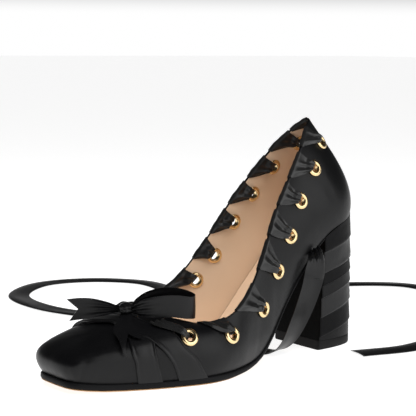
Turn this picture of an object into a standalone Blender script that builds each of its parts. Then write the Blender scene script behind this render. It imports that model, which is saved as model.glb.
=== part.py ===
"""Lace up heel, left shoe: square toe, high block heel, ribbon whipped through eyelets."""
import bpy
import bmesh
import numpy as np
from math import pi

# Driving sizes, millimetres.  Tables measure y from the heel's back, toe towards -y.
HEEL_CENTRE_Y = -17.0        # the frame's origin is under the heel's middle
WALL = 1.7                   # satin, board and lining of the upper together
GAP = 0.3                    # air between pieces that meet
OUTSOLE_THICK = 1.3
BREAST_TOP_Y, BREAST_FOOT_Y = -33.3, -35.9
HEEL_HALF_TOP, HEEL_HALF_FOOT = 22.6, 21.1
HEEL_DEPTH_TOP, HEEL_DEPTH_FOOT = 35.7, 38.3
TOP_PIECE_HIGH = 6.0
INSOLE_THICK = 1.8
EYELET_OUTER, EYELET_INNER, EYELET_HOLE = 5.4, 2.7, 4.3
RIM_OUT, RIM_IN = 1.45, 1.4   # how far the eyelet stands off each face of the wall
RIBBON_THICK = 0.5
TIE_WIDE = 16.0
TIE_REST = 0.35              # height of a tie's middle where it lies on the floor
HOLE_BLOCK = 6.2             # half of the patch of wall kept for one eyelet
ROW_STEP, LOW_LINES, HIGH_LINES = 0.62, 5, 2   # fineness of the upper's facets

# Height of the outsole's underside, by y
UNDERSIDE = [(-224, 3.8), (-219, 2.9), (-213, 2.0), (-203, 1.0), (-192, 0.4), (-181, 0.1),
             (-174, 0), (-128, 0), (-122, 0.3), (-112, 1.1), (-106.7, 2.0), (-101, 3.4),
             (-95.2, 5.9), (-89.7, 9.8), (-83, 16.8), (-77.2, 24.0), (-70.8, 32.1),
             (-63.5, 40.6), (-57.5, 47.4), (-49, 57.0), (-40, 66.0), (-33, 72.0),
             (-26, 75.4), (-14, 80.2), (4, 86.8)]
# Outsole and edge together, by y
SOLE_THICK = [(-224, 4.1), (-130, 4.1), (-105, 3.6), (-80, 2.4), (-33, 1.6), (4, 1.6)]
# How far the sole stands out past the upper, by y
SOLE_MARGIN = [(-224, 1.0), (-130, 1.0), (-60, 0.5), (4, 0.2)]

# The upper, a row per place from toe centre to heel back, both sides at once.
# foot: where the wall meets the sole.  edge: the collar.  low/high out and up: how the
# wall leaves the sole and reaches the collar.  lean: forward travel per mm of rise.
UPPER = {
    "columns": ("foot_y", "foot_lateral", "foot_medial", "edge_x", "edge_y", "edge_z",
                "low_out", "low_up", "high_out", "high_up", "lean"),
    "toe centre": (-221.8, 0, 0, 0, -158.5, 37.2, 14, 19, 48.5, -12, 0),
    "toe front": (-221.5, 8.5, -8.5, 4.2, -158.1, 37.1, 14, 19, 48, -11.5, 0),
    "toe corner": (-219.4, 15.4, -15.6, 8.2, -157, 36.8, 13, 18.5, 47, -10.5, 0),
    "toe side": (-213.0, 20.0, -21.0, 12.5, -155, 36.4, 9.5, 18, 42, -8, 0),
    "small toes": (-202.0, 24.6, -26.4, 17, -152.3, 35.8, 7, 18, 35, -5.5, 0),
    "vamp front": (-186.0, 30.2, -33.0, 21.8, -149.2, 35.1, 5, 17.5, 26, -1.2, 0),
    "vamp side": (-169.0, 36.2, -38.4, 26.8, -145.6, 34.2, 5, 16, 18, 1.5, 0),
    "ball": (-153.0, 40.9, -39.8, 31.5, -140.8, 33.4, 5, 13, 12.5, 0, 0),
    "ball back": (-139.0, 43.0, -37.6, 35.6, -133.0, 33.9, 5, 11, 8, -5, 0),
    "throat side": (-123.5, 41.2, -32.6, 37.6, -122.0, 37.0, 5, 11, 4, -9, 0),
    "arch front": (-108.5, 37.3, -27.6, 36.2, -111.0, 43.8, 4.5, 12, 1, -11, -0.05),
    "arch": (-95.5, 33.3, -24.2, 33.4, -101.3, 53.6, 4, 15, 0, -13, -0.2),
    "waist front": (-83.0, 29.9, -22.2, 30.0, -91.8, 66.6, 4, 17, 0, -15, -0.33),
    "waist": (-70.5, 26.5, -21.0, 26.7, -83.9, 79.2, 4, 18, 0.5, -16, -0.4),
    "shank": (-57.5, 24.3, -20.6, 23.6, -76.2, 92.0, 4, 19, 1.5, -16, -0.43),
    "shank back": (-43.5, 22.9, -20.8, 20.6, -66.2, 105.3, 4, 20, 2, -16, -0.43),
    "seat": (-28.5, 22.0, -20.9, 17.4, -57.0, 117.0, 4, 20, 3, -16, -0.4),
    "seat side": (-12.0, 19.6, -19.2, 13.0, -46.0, 130.3, 5.5, 20, 5.5, -14, -0.3),
    "seat corner": (-1.0, 11.2, -11.0, 6.6, -35.8, 141.3, 7.5, 21, 8.5, -12.5, -0.12),
    "heel back": (2.5, 0, 0, 0, -28.5, 147.6, 8.5, 22, 9.5, -12, 0),
}
# Eyelets: place round the wall in table rows, and height as a part of the wall's
EYELETS = {
    "columns": ("lateral_row", "lateral_up", "medial_row", "medial_up"),
    1: (6.41, 0.605, 6.60, 0.640),
    2: (8.71, 0.667, 8.95, 0.690),
    3: (11.34, 0.520, 11.31, 0.705),
    4: (12.88, 0.530, 12.50, 0.715),
    5: (14.21, 0.570, 13.99, 0.755),
    6: (15.45, 0.686, 15.27, 0.770),
    7: (16.86, 0.733, 16.60, 0.790),
    8: (18.20, 0.765, 17.93, 0.795),
}
# Ribbon bands over the forefoot: row and height of each edge, lateral sole to medial sole
BAND_FRONT = {
    "columns": ("front_row", "front_up", "rear_row", "rear_up", "lift"),
    "lateral sole": (5.06, 0.02, 5.86, 0.02, 0.35), "lateral low": (4.92, 0.145, 5.68, 0.16, 0.35),
    "lateral side": (4.66, 0.301, 5.42, 0.33, 0.4), "lateral top": (3.84, 0.55, 4.87, 0.566, 0.5),
    "lateral crown": (2.6, 0.72, 3.9, 0.74, 0.4), "crown": (0.0, 0.865, 0.5, 0.955, 0.4),
    "medial crown": (-3.0, 0.84, -3.6, 0.94, 0.4), "medial top": (-4.9, 0.62, -5.6, 0.73, 0.4),
    "medial side": (-5.7, 0.36, -6.5, 0.42, 0.4), "medial sole": (-6.2, 0.02, -7.2, 0.02, 0.35),
}
BAND_REAR = {
    "columns": ("front_row", "front_up", "rear_row", "rear_up", "lift"),
    "lateral sole": (6.41, 0.02, 7.6, 0.02, 0.35), "lateral low": (6.24, 0.134, 7.25, 0.17, 0.4),
    "lateral side": (6.01, 0.252, 6.95, 0.31, 0.8), "lateral high": (5.47, 0.416, 6.4, 0.44, 1.3),
    "lateral top": (4.43, 0.613, 5.75, 0.62, 1.5), "lateral crown": (3.1, 0.706, 4.7, 0.79, 1.6),
    "crown": (0.0, 0.83, 0.8, 0.93, 1.6), "medial crown": (-2.9, 0.7, -4.0, 0.83, 2.0),
    "medial top": (-4.2, 0.5, -5.0, 0.58, 2.0), "medial side": (-4.5, 0.28, -5.3, 0.33, 0.9),
    "medial sole": (-4.7, 0.02, -5.55, 0.02, 0.35),
}
# Seams of the ribbon wound on the heel: height at the breast, and rise per mm to the back
HEEL_SEAMS = {"columns": ("breast_z", "rise"), 1: (8.2, 0.23), 2: (21.0, 0.26), 3: (33.7, 0.25),
              4: (41.6, 0.24), 5: (49.8, 0.23), 6: (63.6, 0.24)}

# Bow and ties: centre line points, the way the ribbon's width points, and its width
BOW_LOOP = {
    "columns": ("x", "y", "z", "wide_x", "wide_y", "wide_z", "wide"),
    0: (1.8, -172.2, 40.4, 0.1, 0, 1, 3.5),
    1: (5.6, -170.8, 40.6, 0.1, 0, 1, 4.5), 2: (9, -169.6, 41.4, 0.1, 0, 1, 7.5),
    3: (14, -168, 42.6, 0, 0, 1, 10.5), 4: (20, -162.5, 43.7, 0, 0, 1, 12.5),
    5: (24.5, -154.5, 43.8, 0, 0, 1, 13), 6: (27.2, -147, 42.5, 0, 0, 1, 13),
    7: (26.2, -141.5, 42, 0, 0, 1, 13), 8: (22, -139.5, 42.5, 0, 0, 1, 13),
    9: (16.5, -143.5, 45.1, 0, 0, 1, 13), 10: (10.5, -151, 46.6, 0, 0, 1, 12),
    11: (5.5, -159, 45.8, 0, 0, 1, 9.5), 12: (3.0, -165.0, 43.6, 0, 0, 1, 6.5),
    13: (2.4, -167.5, 42.1, 0, 0, 1, 4.5), 14: (1.4, -170.3, 41.4, 0, 0, 1, 3.2),
}
BOW_TAIL_MEDIAL = {
    "columns": ("x", "y", "z", "wide_x", "wide_y", "wide_z", "wide"),
    0: (-0.6, -174.0, 40.5, 0.2, 0.2, 1, 3.5),
    1: (-2.9, -176.6, 40.6, 0.2, 0.2, 1, 4.5), 2: (-6.5, -181, 40.8, 0.2, 0.2, 1, 8),
    3: (-11.5, -187.5, 40.9, 0.1, 0.1, 1, 11.5), 4: (-15.8, -193.2, 40.5, 0, 0, 1, 12.8),
    5: (-20, -199.2, 39.7, 0, 0, 1, 13),
}
BOW_TAIL_FRONT = {
    "columns": ("front_row", "front_up", "rear_row", "rear_up", "lift"),
    "in the knot": (0.3, 0.883, 0.45, 0.893, 4.9), "out of it": (0.62, 0.85, 0.98, 0.88, 3.6),
    "pleats": (1.25, 0.79, 1.7, 0.86, 2.9),
    "upper": (2.05, 0.71, 2.5, 0.8, 2.6), "middle": (2.8, 0.62, 3.2, 0.74, 2.4),
    "tip": (3.67, 0.472, 3.85, 0.657, 2.4),
}
TIE_LATERAL = {
    "columns": ("x", "y", "z", "wide_x", "wide_y", "wide_z"),
    1: (28, -45.5, 65.5, 0, 0.75, 0.66), 2: (29.8, -46.5, 58.5, 0, 0.83, 0.55),
    3: (28.5, -50, 44, 0.08, 0.95, 0.25), 4: (24.5, -55.5, 24, 0, 0.98, 0.1),
    5: (18, -61, 7, -0.2, 0.97, 0), 6: (7, -66, 0.5, -0.28, 0.96, 0),
    7: (-16, -71, 0.9, -0.11, 0.99, 0), 8: (-48, -72, 0.6, 0.01, 1, 0),
    9: (-92, -70, 1.1, -0.18, 0.98, 0), 10: (-138, -88, 0.7, -0.36, 0.93, 0),
    11: (-190, -108, 1.2, -0.11, 0.99, 0), 12: (-244, -100, 0.6, 0.48, 0.88, 0),
    13: (-274, -62, 1, 0.96, 0.28, 0), 14: (-268, -18, 0.5, 0.86, -0.5, 0),
    15: (-232, 10, 0.9, 0.27, -0.96, 0), 16: (-184, 6, 0.6, -0.16, -0.99, 0),
    17: (-144, -4, 1.1, -0.4, -0.92, 0), 18: (-110, -26, 0.7, -0.54, -0.84, 0),
}
TIE_MEDIAL = {
    "columns": ("x", "y", "z", "wide_x", "wide_y", "wide_z"),
    1: (-25.6, -45.5, 65.5, 0, 0.75, 0.66), 2: (-29, -45.5, 58, 0, 0.83, 0.55),
    3: (-33, -45, 42, 0.05, 0.95, 0.3), 4: (-37, -42, 22, 0.2, 0.95, 0.1),
    5: (-42, -35, 7, 0.5, 0.85, 0), 6: (-50, -20, 0.6, 0.89, 0.45, 0),
    7: (-66, 12, 1, 0.84, 0.54, 0), 8: (-94, 48, 0.5, 0.76, 0.65, 0),
    9: (-128, 84, 1.1, 0.9, 0.44, 0), 10: (-134, 130, 0.7, 0.95, -0.32, 0),
    11: (-98, 173, 1.2, 0.44, -0.9, 0), 12: (-50, 171, 0.6, -0.4, -0.92, 0),
    13: (-8, 134, 1, -0.7, -0.71, 0), 14: (24, 98, 0.5, -0.82, -0.58, 0),
    15: (46, 58, 0.9, -0.94, -0.33, 0), 16: (53, 16, 0.6, -1, 0.02, 0),
    17: (44, -24, 0.8, -0.98, 0.22, 0),
}
KNOT_CENTRE, KNOT_HALF = (0.8, -172.4, 40.6), (4.3, 4.2, 2.9)


def table_rows(table, wanted=None):
    """The rows of a table, or the one column asked for."""
    rows = [row for name, row in table.items() if name != "columns"]
    if wanted is None:
        return np.array(rows, float)
    return np.array([row[table["columns"].index(wanted)] for row in rows], float)


def read_curve(points, y):
    """Height (or any size) at y from a list of (y, size)."""
    points = np.array(points, float)
    return np.interp(y, points[:, 0], points[:, 1])


def foot_height(y):
    """Where the upper's lower edge stands."""
    return read_curve(UNDERSIDE, y) + read_curve(SOLE_THICK, y) + GAP


def closed_spline(points):
    """A smooth closed curve through rows of numbers, asked by 0..1 round."""
    count = len(points)
    system = 4 * np.eye(count) + np.roll(np.eye(count), 1, 0) + np.roll(np.eye(count), -1, 0)
    slopes = np.linalg.solve(system, 3 * (np.roll(points, -1, 0) - np.roll(points, 1, 0)))

    def at(around):
        place = np.mod(np.atleast_1d(around), 1.0) * count
        first = np.floor(place).astype(int) % count
        second, t = (first + 1) % count, (place - np.floor(place))[:, None]
        return (points[first] * (2 * t**3 - 3 * t**2 + 1) + slopes[first] * (t**3 - 2 * t**2 + t)
                + points[second] * (3 * t**2 - 2 * t**3) + slopes[second] * (t**3 - t**2))
    return at


def open_spline(points, steps):
    """Points along a smooth curve through the rows of a table."""
    points = np.array(points, float)
    padded = np.vstack([2 * points[0] - points[1], points, 2 * points[-1] - points[-2]])
    result = []
    for a, b, c, d in zip(padded, padded[1:], padded[2:], padded[3:]):
        for t in np.arange(steps) / steps:
            result.append(0.5 * (2 * b + (c - a) * t + (2 * a - 5 * b + 4 * c - d) * t**2
                                 + (3 * b - a - 3 * c + d) * t**3))
    return np.array(result + [points[-1]])


def upper_controls():
    """Four control points of the wall for every row, once round the shoe."""
    names = UPPER["columns"]
    rows = table_rows(UPPER)
    round_rows = [(row, 1) for row in rows] + [(row, -1) for row in rows[-2:0:-1]]
    size = {name: np.array([row[names.index(name)] for row, side in round_rows]) for name in names}
    side = np.array([side for row, side in round_rows])
    foot_x = np.where(side > 0, size["foot_lateral"], size["foot_medial"])
    foot = np.stack([foot_x, size["foot_y"], foot_height(size["foot_y"])], 1)
    edge = np.stack([side * size["edge_x"], size["edge_y"], size["edge_z"]], 1)
    along = np.roll(foot, -1, 0) - np.roll(foot, 1, 0)
    outward = np.stack([along[:, 1], -along[:, 0], 0 * along[:, 0]], 1)
    outward /= np.linalg.norm(outward, axis=1)[:, None]
    rise = np.stack([0 * side, size["lean"], 1 + 0 * size["lean"]], 1)
    low = foot + size["low_out"][:, None] * outward + size["low_up"][:, None] * rise
    reach = (foot - edge) * [1, 1, 0] + 20 * outward
    reach /= np.linalg.norm(reach, axis=1)[:, None]
    high = edge + size["high_out"][:, None] * reach + size["high_up"][:, None] * rise
    return np.hstack([foot, low, high, edge])


wall_controls = closed_spline(upper_controls())
ROWS_ROUND = 2 * len(table_rows(UPPER)) - 2


def wall_surface(row, up):
    """A point of the upper's outside: row in table rows (minus is medial), up from 0 to 1."""
    row, up = np.broadcast_arrays(np.asarray(row, float), np.asarray(up, float))
    four = wall_controls(row.ravel() / ROWS_ROUND).reshape(row.shape + (4, 3))
    t = up[..., None]
    return ((1 - t)**3 * four[..., 0, :] + 3 * t * (1 - t)**2 * four[..., 1, :]
            + 3 * t**2 * (1 - t) * four[..., 2, :] + t**3 * four[..., 3, :])


def wall_frame(row, up):
    """Outward, round and upward directions of the upper at a place."""
    step = 1e-3
    round_way = wall_surface(row + step, up) - wall_surface(row - step, up)
    up_way = wall_surface(row, np.minimum(up + step, 1)) - wall_surface(row, np.maximum(up - step, 0))
    round_way /= np.linalg.norm(round_way, axis=-1, keepdims=True)
    up_way /= np.linalg.norm(up_way, axis=-1, keepdims=True)
    outward = np.cross(round_way, up_way)
    outward /= np.linalg.norm(outward, axis=-1, keepdims=True)
    return outward, round_way, up_way


def wall_point(row, up, lift):
    """A point held off the upper's outside by lift."""
    row, up, lift = np.broadcast_arrays(np.asarray(row, float), np.asarray(up, float),
                                        np.asarray(lift, float))
    return wall_surface(row, up) + lift[..., None] * wall_frame(row, up)[0]


FOOT_LINE = wall_surface(np.linspace(0, ROWS_ROUND / 2, 1200), np.zeros(1200))


def wall_foot(y):
    """Height of the wall's lower edge at y, as the finished wall has it."""
    return np.interp(y, FOOT_LINE[:, 1], FOOT_LINE[:, 2])


def near_wall(row, up, across, upward):
    """The row and height reached by going across and upward in mm from a place."""
    outward, round_way, _ = wall_frame(np.float64(row), np.float64(up))
    steep = np.cross(outward, round_way)
    start, step = wall_surface(row, up), 1e-3
    goal = np.array([across, upward])
    r, u = float(row), float(up)
    for _ in range(6):
        here = wall_surface(r, u)
        now = np.array([(here - start) @ round_way, (here - start) @ steep])
        d_row = (wall_surface(r + step, u) - here) / step
        d_up = (wall_surface(r, u + step) - here) / step
        slope = np.array([[d_row @ round_way, d_up @ round_way], [d_row @ steep, d_up @ steep]])
        move = np.linalg.solve(slope, goal - now)
        r, u = r + move[0], u + move[1]
    return r, u


def add_node(name, points, faces, material):
    """A closed body from points in mm, facing outward."""
    mesh = bpy.data.meshes.new(name)
    shifted = (np.array(points, float) - [0, HEEL_CENTRE_Y, 0]) * 0.001
    mesh.from_pydata([tuple(p) for p in shifted], [], [list(map(int, f)) for f in faces])
    shape = bmesh.new()
    shape.from_mesh(mesh)
    for point in [v for v in shape.verts if not v.link_faces]:
        shape.verts.remove(point)
    bmesh.ops.recalc_face_normals(shape, faces=shape.faces)
    if shape.calc_volume(signed=True) < 0:
        bmesh.ops.reverse_faces(shape, faces=shape.faces)
    shape.to_mesh(mesh)
    shape.free()
    obj = bpy.data.objects.new(name, mesh)
    bpy.context.scene.collection.objects.link(obj)
    mesh.materials.append(material)
    return obj


def grid_faces(rows, columns, closed_rows=False, closed_columns=False, start=0):
    """Four-sided faces of a grid of points kept row by row."""
    faces = []
    for i in range(rows if closed_rows else rows - 1):
        for j in range(columns if closed_columns else columns - 1):
            i2, j2 = (i + 1) % rows, (j + 1) % columns
            faces.append([start + i * columns + j, start + i2 * columns + j,
                          start + i2 * columns + j2, start + i * columns + j2])
    return faces


def slab(name, upper_grid, lower_grid, material, closed_rows=False):
    """A body between two grids of the same size, closed along its rims."""
    rows, columns, _ = upper_grid.shape
    points = np.vstack([upper_grid.reshape(-1, 3), lower_grid.reshape(-1, 3)])
    half = rows * columns
    faces = grid_faces(rows, columns, closed_rows)
    faces += [[half + k for k in face[::-1]] for face in grid_faces(rows, columns, closed_rows)]
    for i in range(rows if closed_rows else rows - 1):
        for j in (0, columns - 1):
            a, b = i * columns + j, ((i + 1) % rows) * columns + j
            faces.append([a, b, half + b, half + a])
    if not closed_rows:
        for i in (0, rows - 1):
            for j in range(columns - 1):
                a = i * columns + j
                faces.append([a, a + 1, half + a + 1, half + a])
    return add_node(name, points, faces, material)


def split_alike(faces):
    """Triangles of a four-cornered tube, cut so that a twist can't push its wide faces together."""
    result = []
    for k, (a, b, c, d) in enumerate(faces):
        result += [[a, b, c], [a, c, d]] if k % 4 < 2 else [[b, c, d], [b, d, a]]
    return result


def tube(name, rings, material):
    """A body through a list of closed rings, its two ends filled."""
    count, around = len(rings), len(rings[0])
    faces = grid_faces(count, around, closed_columns=True)
    if around == 4:
        faces = split_alike(faces)
    faces += [list(range(around)), [(count - 1) * around + k for k in range(around)]]
    return add_node(name, np.vstack(rings), faces, material)


def ribbon_rings(centres, widths, wide_ways, thick=RIBBON_THICK):
    """Four-cornered rings of a ribbon along its centre line."""
    travel = np.gradient(centres, axis=0)
    travel /= np.linalg.norm(travel, axis=1)[:, None]
    wide = wide_ways - np.sum(wide_ways * travel, 1)[:, None] * travel
    wide /= np.linalg.norm(wide, axis=1)[:, None]
    flat = np.cross(travel, wide)
    rings = []
    for centre, width, w, f in zip(centres, widths, wide, flat):
        rings.append([centre + w * width / 2 * i + f * thick / 2 * j
                      for i, j in ((1, 1), (-1, 1), (-1, -1), (1, -1))])
    return rings


def ribbon_from_table(name, table, material, steps=3):
    """A ribbon from a table of centre points, width directions and widths."""
    rows = open_spline(table_rows(table), steps)
    rows[:, 2] = np.maximum(rows[:, 2], TIE_REST)
    widths = rows[:, 6] if "wide" in table["columns"] else np.full(len(rows), TIE_WIDE)
    return tube(name, ribbon_rings(rows[:, :3], widths, rows[:, 3:6]), material)


def make_material(name, colour, roughness, metallic=0.0):
    """One plain Principled material."""
    material = bpy.data.materials.new(name)
    material.use_nodes = True
    shader = next(n for n in material.node_tree.nodes if n.type == "BSDF_PRINCIPLED")
    shader.inputs["Base Color"].default_value = (*colour, 1)
    shader.inputs["Roughness"].default_value = roughness
    shader.inputs["Metallic"].default_value = metallic
    material.diffuse_color = (*colour, 1)
    return material


def rim_at(y, side, outward):
    """x of the upper's foot line at y, moved out by a size in plan."""
    rows = np.linspace(0, ROWS_ROUND / 2, 1200) * side
    foot = wall_surface(rows, 0 * rows)
    along = np.gradient(foot, axis=0) * side
    move = np.stack([along[:, 1], -along[:, 0]], 1)
    move /= np.linalg.norm(move, axis=1)[:, None]
    shift = outward(foot[:, 1]) if callable(outward) else outward
    moved = foot[:, :2] + move * np.broadcast_to(shift, (len(foot),))[:, None]
    order = np.argsort(moved[:, 1])
    return np.interp(y, moved[order, 1], moved[order, 0])


def sole_layer(name, low, high, outward, y_rows, material, columns=4):
    """A flat layer following the underside between two outlines; low and high in mm."""
    lateral, medial = rim_at(y_rows, 1, outward), rim_at(y_rows, -1, outward)
    part = np.linspace(0, 1, columns)
    x = lateral[:, None] * (1 - part) + medial[:, None] * part
    y = np.repeat(y_rows[:, None], columns, 1)
    top, bottom = high(y), low(y)
    return slab(name, np.stack([x, y, top], -1), np.stack([x, y, bottom], -1), material)


def heel_ring(part, height, rise, stand_out=0.0, back_points=19, breast_points=1):
    """One ring of the heel: part 0 at the seat, 1 at the floor."""
    breast_y = BREAST_TOP_Y * (1 - part) + BREAST_FOOT_Y * part
    half = HEEL_HALF_TOP * (1 - part) + HEEL_HALF_FOOT * part + stand_out
    depth = HEEL_DEPTH_TOP * (1 - part) + HEEL_DEPTH_FOOT * part + stand_out
    square = 2.0 / (2.4 * (1 - part) + 2.9 * part)
    turn = np.linspace(0, pi, back_points)
    cos, sin = np.cos(turn), np.sin(turn)
    x = half * np.sign(cos) * np.abs(cos)**square
    y = breast_y + depth * np.abs(sin)**square
    breast_x = np.linspace(-half, half, breast_points + 2)[1:-1]
    x, y = np.append(x, breast_x), np.append(y, np.full(breast_points, breast_y))
    return np.stack([x, y, height + rise * (y - breast_y)], 1)


def seat_height(y):
    return wall_foot(y) - GAP


def build_heel(material):
    """The heel block, its ribbon's turns standing out as steps."""
    seams = table_rows(HEEL_SEAMS)
    top_z = seat_height(BREAST_TOP_Y)
    rings = [heel_ring(1 - TOP_PIECE_HIGH / top_z, TOP_PIECE_HIGH + 0.15, 0)]
    for breast_z, rise in seams:
        part = 1 - breast_z / top_z
        rings.append(heel_ring(part, breast_z - 0.25, rise, 0.35))
        rings.append(heel_ring(part, breast_z + 0.25, rise, 0.0))
    last = heel_ring(0, top_z, 0)
    last[:, 2] = seat_height(last[:, 1]) - 0.3
    rings.append(last)
    return tube("heel_block", rings, material)


def build_eyelet(name, row, up, material, around=12):
    """A rolled metal ring through the wall, following its curve on both faces."""
    inner, outer, neck = EYELET_INNER, EYELET_OUTER, EYELET_HOLE - 1.1
    section = [(inner, 0.8), (outer - 1.2, RIM_OUT), (outer, 0.65), (neck, 0.6),
               (neck, -WALL - 0.7), (outer - 0.6, -WALL - 0.85), (inner + 0.3, -WALL - RIM_IN)]
    rings = []
    for k in range(around):
        turn = 2 * pi * k / around
        ring = []
        for radius, lift in section:
            r, u = near_wall(row, up, radius * np.cos(turn), radius * np.sin(turn))
            ring.append(wall_point(r, u, lift))
        rings.append(ring)
    faces = grid_faces(around, len(section), closed_rows=True, closed_columns=True)
    return add_node(name, np.array(rings).reshape(-1, 3), faces, material)


def wall_lines():
    """Rows round and heights up for the wall's grid, so that a block of cells holds each eyelet."""
    places = sorted((row, up) for side, row, up in eyelet_places())
    rows = []
    for row, up in places:
        half = HOLE_BLOCK / np.linalg.norm(wall_surface(row + 0.5, up) - wall_surface(row - 0.5, up))
        rows += [row - half, row, row + half]
    rows.append(rows[0] + ROWS_ROUND)
    filled = []
    for a, b in zip(rows, rows[1:]):
        filled += list(np.linspace(a, b, max(1, round((b - a) / ROW_STEP)) + 1)[:-1])
    known = [(row + turn * ROWS_ROUND, up) for turn in (-1, 0, 1) for row, up in places]
    known = np.array(sorted(known))
    middle = np.interp(filled, known[:, 0], known[:, 1])
    heights = []
    for row, up in zip(filled, middle):
        half = HOLE_BLOCK / np.linalg.norm(wall_surface(row, up + 0.05) - wall_surface(row, up - 0.05)) / 10
        heights.append(list(np.linspace(0, up - half, LOW_LINES + 1)) + [up]
                       + list(np.linspace(up + half, 1, HIGH_LINES + 1)))
    return np.array(filled), np.array(heights)


def build_upper(material):
    """The hollow upper: two skins a wall apart, with a hole for every eyelet."""
    rows, heights = wall_lines()
    row_grid = np.repeat(rows[:, None], heights.shape[1], 1)
    count, lines = row_grid.shape
    outer, inner = wall_point(row_grid, heights, 0), wall_point(row_grid, heights, -WALL)
    half = count * lines
    points = list(outer.reshape(-1, 3)) + list(inner.reshape(-1, 3))
    cells, holes = set(), []
    for side, row, up in eyelet_places():
        i, j = int(np.argmin(np.abs(rows - row))), LOW_LINES + 1
        cells |= {((i - 1 + a) % count, j - 1 + b) for a in (0, 1) for b in (0, 1)}
        rim = [(-1, -1), (0, -1), (1, -1), (1, 0), (1, 1), (0, 1), (-1, 1), (-1, 0)]
        holes.append((row, up, [((i + a) % count) * lines + j + b for a, b in rim]))
    skin = [face for face in grid_faces(count, lines, closed_rows=True)
            if (face[0] // lines, face[0] % lines) not in cells]
    faces = skin + [[half + k for k in face[::-1]] for face in skin]
    for i in range(count):
        for j in (0, lines - 1):
            a, b = i * lines + j, ((i + 1) % count) * lines + j
            faces.append([a, b, half + b, half + a])
    for row, up, rim in holes:
        centre = wall_surface(row, up)
        _, round_way, up_way = wall_frame(np.float64(row), np.float64(up))
        steep = np.cross(wall_frame(np.float64(row), np.float64(up))[0], round_way)
        start = len(points)
        for k in rim:
            turn = np.arctan2((points[k] - centre) @ steep, (points[k] - centre) @ round_way)
            r, u = near_wall(row, up, EYELET_HOLE * np.cos(turn), EYELET_HOLE * np.sin(turn))
            points += [wall_point(r, u, 0), wall_point(r, u, -WALL)]
        for n in range(8):
            m = (n + 1) % 8
            a, b, c, d = rim[n], rim[m], start + 2 * m, start + 2 * n
            faces += [[a, b, c, d], [half + b, half + a, d + 1, c + 1], [d, c, c + 1, d + 1]]
    return add_node("upper", points, faces, material)


def eyelet_places():
    """Every eyelet as (side, row, up)."""
    places = []
    for lateral_row, lateral_up, medial_row, medial_up in table_rows(EYELETS):
        places.append((1, lateral_row, lateral_up))
        places.append((-1, -medial_row, medial_up))
    return places


def lacing_line(side):
    """Centres, widths and width directions of the ribbon whipped over one side's collar."""
    half = RIBBON_THICK / 2
    over_rim, under_rim = RIM_OUT + GAP + half + 0.2, -WALL - RIM_IN - GAP - half - 0.2
    edge_out, edge_in = 0.85 + half, -WALL - 1.3 - half
    places = [(row, up) for s, row, up in eyelet_places() if s == side]
    if side < 0:
        places = places[::-1]
    line = []

    def put(row, up, height, width, lean, beyond=0.0):
        outward, round_way, up_way = wall_frame(np.float64(row), np.float64(up))
        centre = wall_surface(row, up) + outward * height + up_way * beyond
        line.append((centre, width, round_way + lean * up_way))

    for number, (row, up) in enumerate(places):
        before = (places[number - 1][0] + row) / 2 if number else row - 1.0
        after = (places[number + 1][0] + row) / 2 if number + 1 < len(places) else row + 0.8
        if number == 0 and side > 0:
            for t, height, width in ((0, 3.0, 8), (0.4, 2.6, 7), (0.75, over_rim + 0.1, 5)):
                put(row - 1.7 * (1 - t), up + 0.16 * (1 - t), height, width, 0.7)
        else:
            for t, height in ((0.2, edge_out + 0.3), (0.4, edge_out + 0.8), (0.6, over_rim),
                              (0.8, over_rim)):
                put(before * (1 - t) + row * t, 1 - (1 - up) * t, height, 10.0 - 6.4 * t, 0.25)
        put(row, up, over_rim - 0.1, 2.4, 0.1)
        put(row, up, -WALL / 2, 2.2, 0)
        put(row, up, under_rim + 0.1, 2.4, -0.1)
        if number + 1 < len(places) or side < 0:
            for t, height in ((0.2, under_rim), (0.4, under_rim), (0.6, edge_in - 0.7),
                              (0.8, edge_in - 0.3)):
                put(row * (1 - t) + after * t, up + (1 - up) * t, height, 3.6 + 6.4 * t, -0.25)
            middle, radius = (edge_out + edge_in) / 2, (edge_out - edge_in) / 2
            for k in range(5):
                turn = pi * (1 - k / 4)
                put(after - 0.05 + 0.025 * k, 1.0, middle + radius * np.cos(turn), 9.5, 0,
                    0.5 + radius * np.sin(turn))
    return line


def build_lacing(name, side, material):
    line = lacing_line(side)
    centres = np.array([point for point, width, way in line])
    widths = np.array([width for point, width, way in line])
    ways = np.array([way for point, width, way in line])
    return tube(name, ribbon_rings(centres, widths, ways), material)


def build_band(name, table, material, steps=2, across=4):
    """A ribbon band laid on the upper between two edge lines."""
    rows = open_spline(table_rows(table), steps)
    part = np.linspace(0, 1, across)
    row = rows[:, 0:1] * (1 - part) + rows[:, 2:3] * part
    up = rows[:, 1:2] * (1 - part) + rows[:, 3:4] * part
    lift = np.repeat(rows[:, 4:5], across, 1)
    return slab(name, wall_point(row, up, lift + RIBBON_THICK), wall_point(row, up, lift), material)


def build_bow(name, material, around=12, stacks=6):
    """The bow: a small pinched knot joined to its loop and its two tails."""
    rings = []
    for k in range(stacks):
        tilt = -pi / 2 + pi * (k + 0.6) / (stacks + 0.2)
        turn = np.arange(around) * 2 * pi / around
        ring = np.stack([np.cos(tilt) * np.cos(turn), np.cos(tilt) * np.sin(turn),
                         np.sin(tilt) + 0 * turn], 1)
        rings.append(ring * KNOT_HALF + KNOT_CENTRE)
    bow = tube(name, rings, material)
    for ribbon in (ribbon_from_table("loop", BOW_LOOP, material),
                   ribbon_from_table("tail", BOW_TAIL_MEDIAL, material),
                   build_band("front_tail", BOW_TAIL_FRONT, material)):
        join = bow.modifiers.new(ribbon.name, "BOOLEAN")
        join.operation, join.solver, join.object = "UNION", "EXACT", ribbon
        ribbon.hide_render, ribbon.display_type = True, "WIRE"
    return bow


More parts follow.
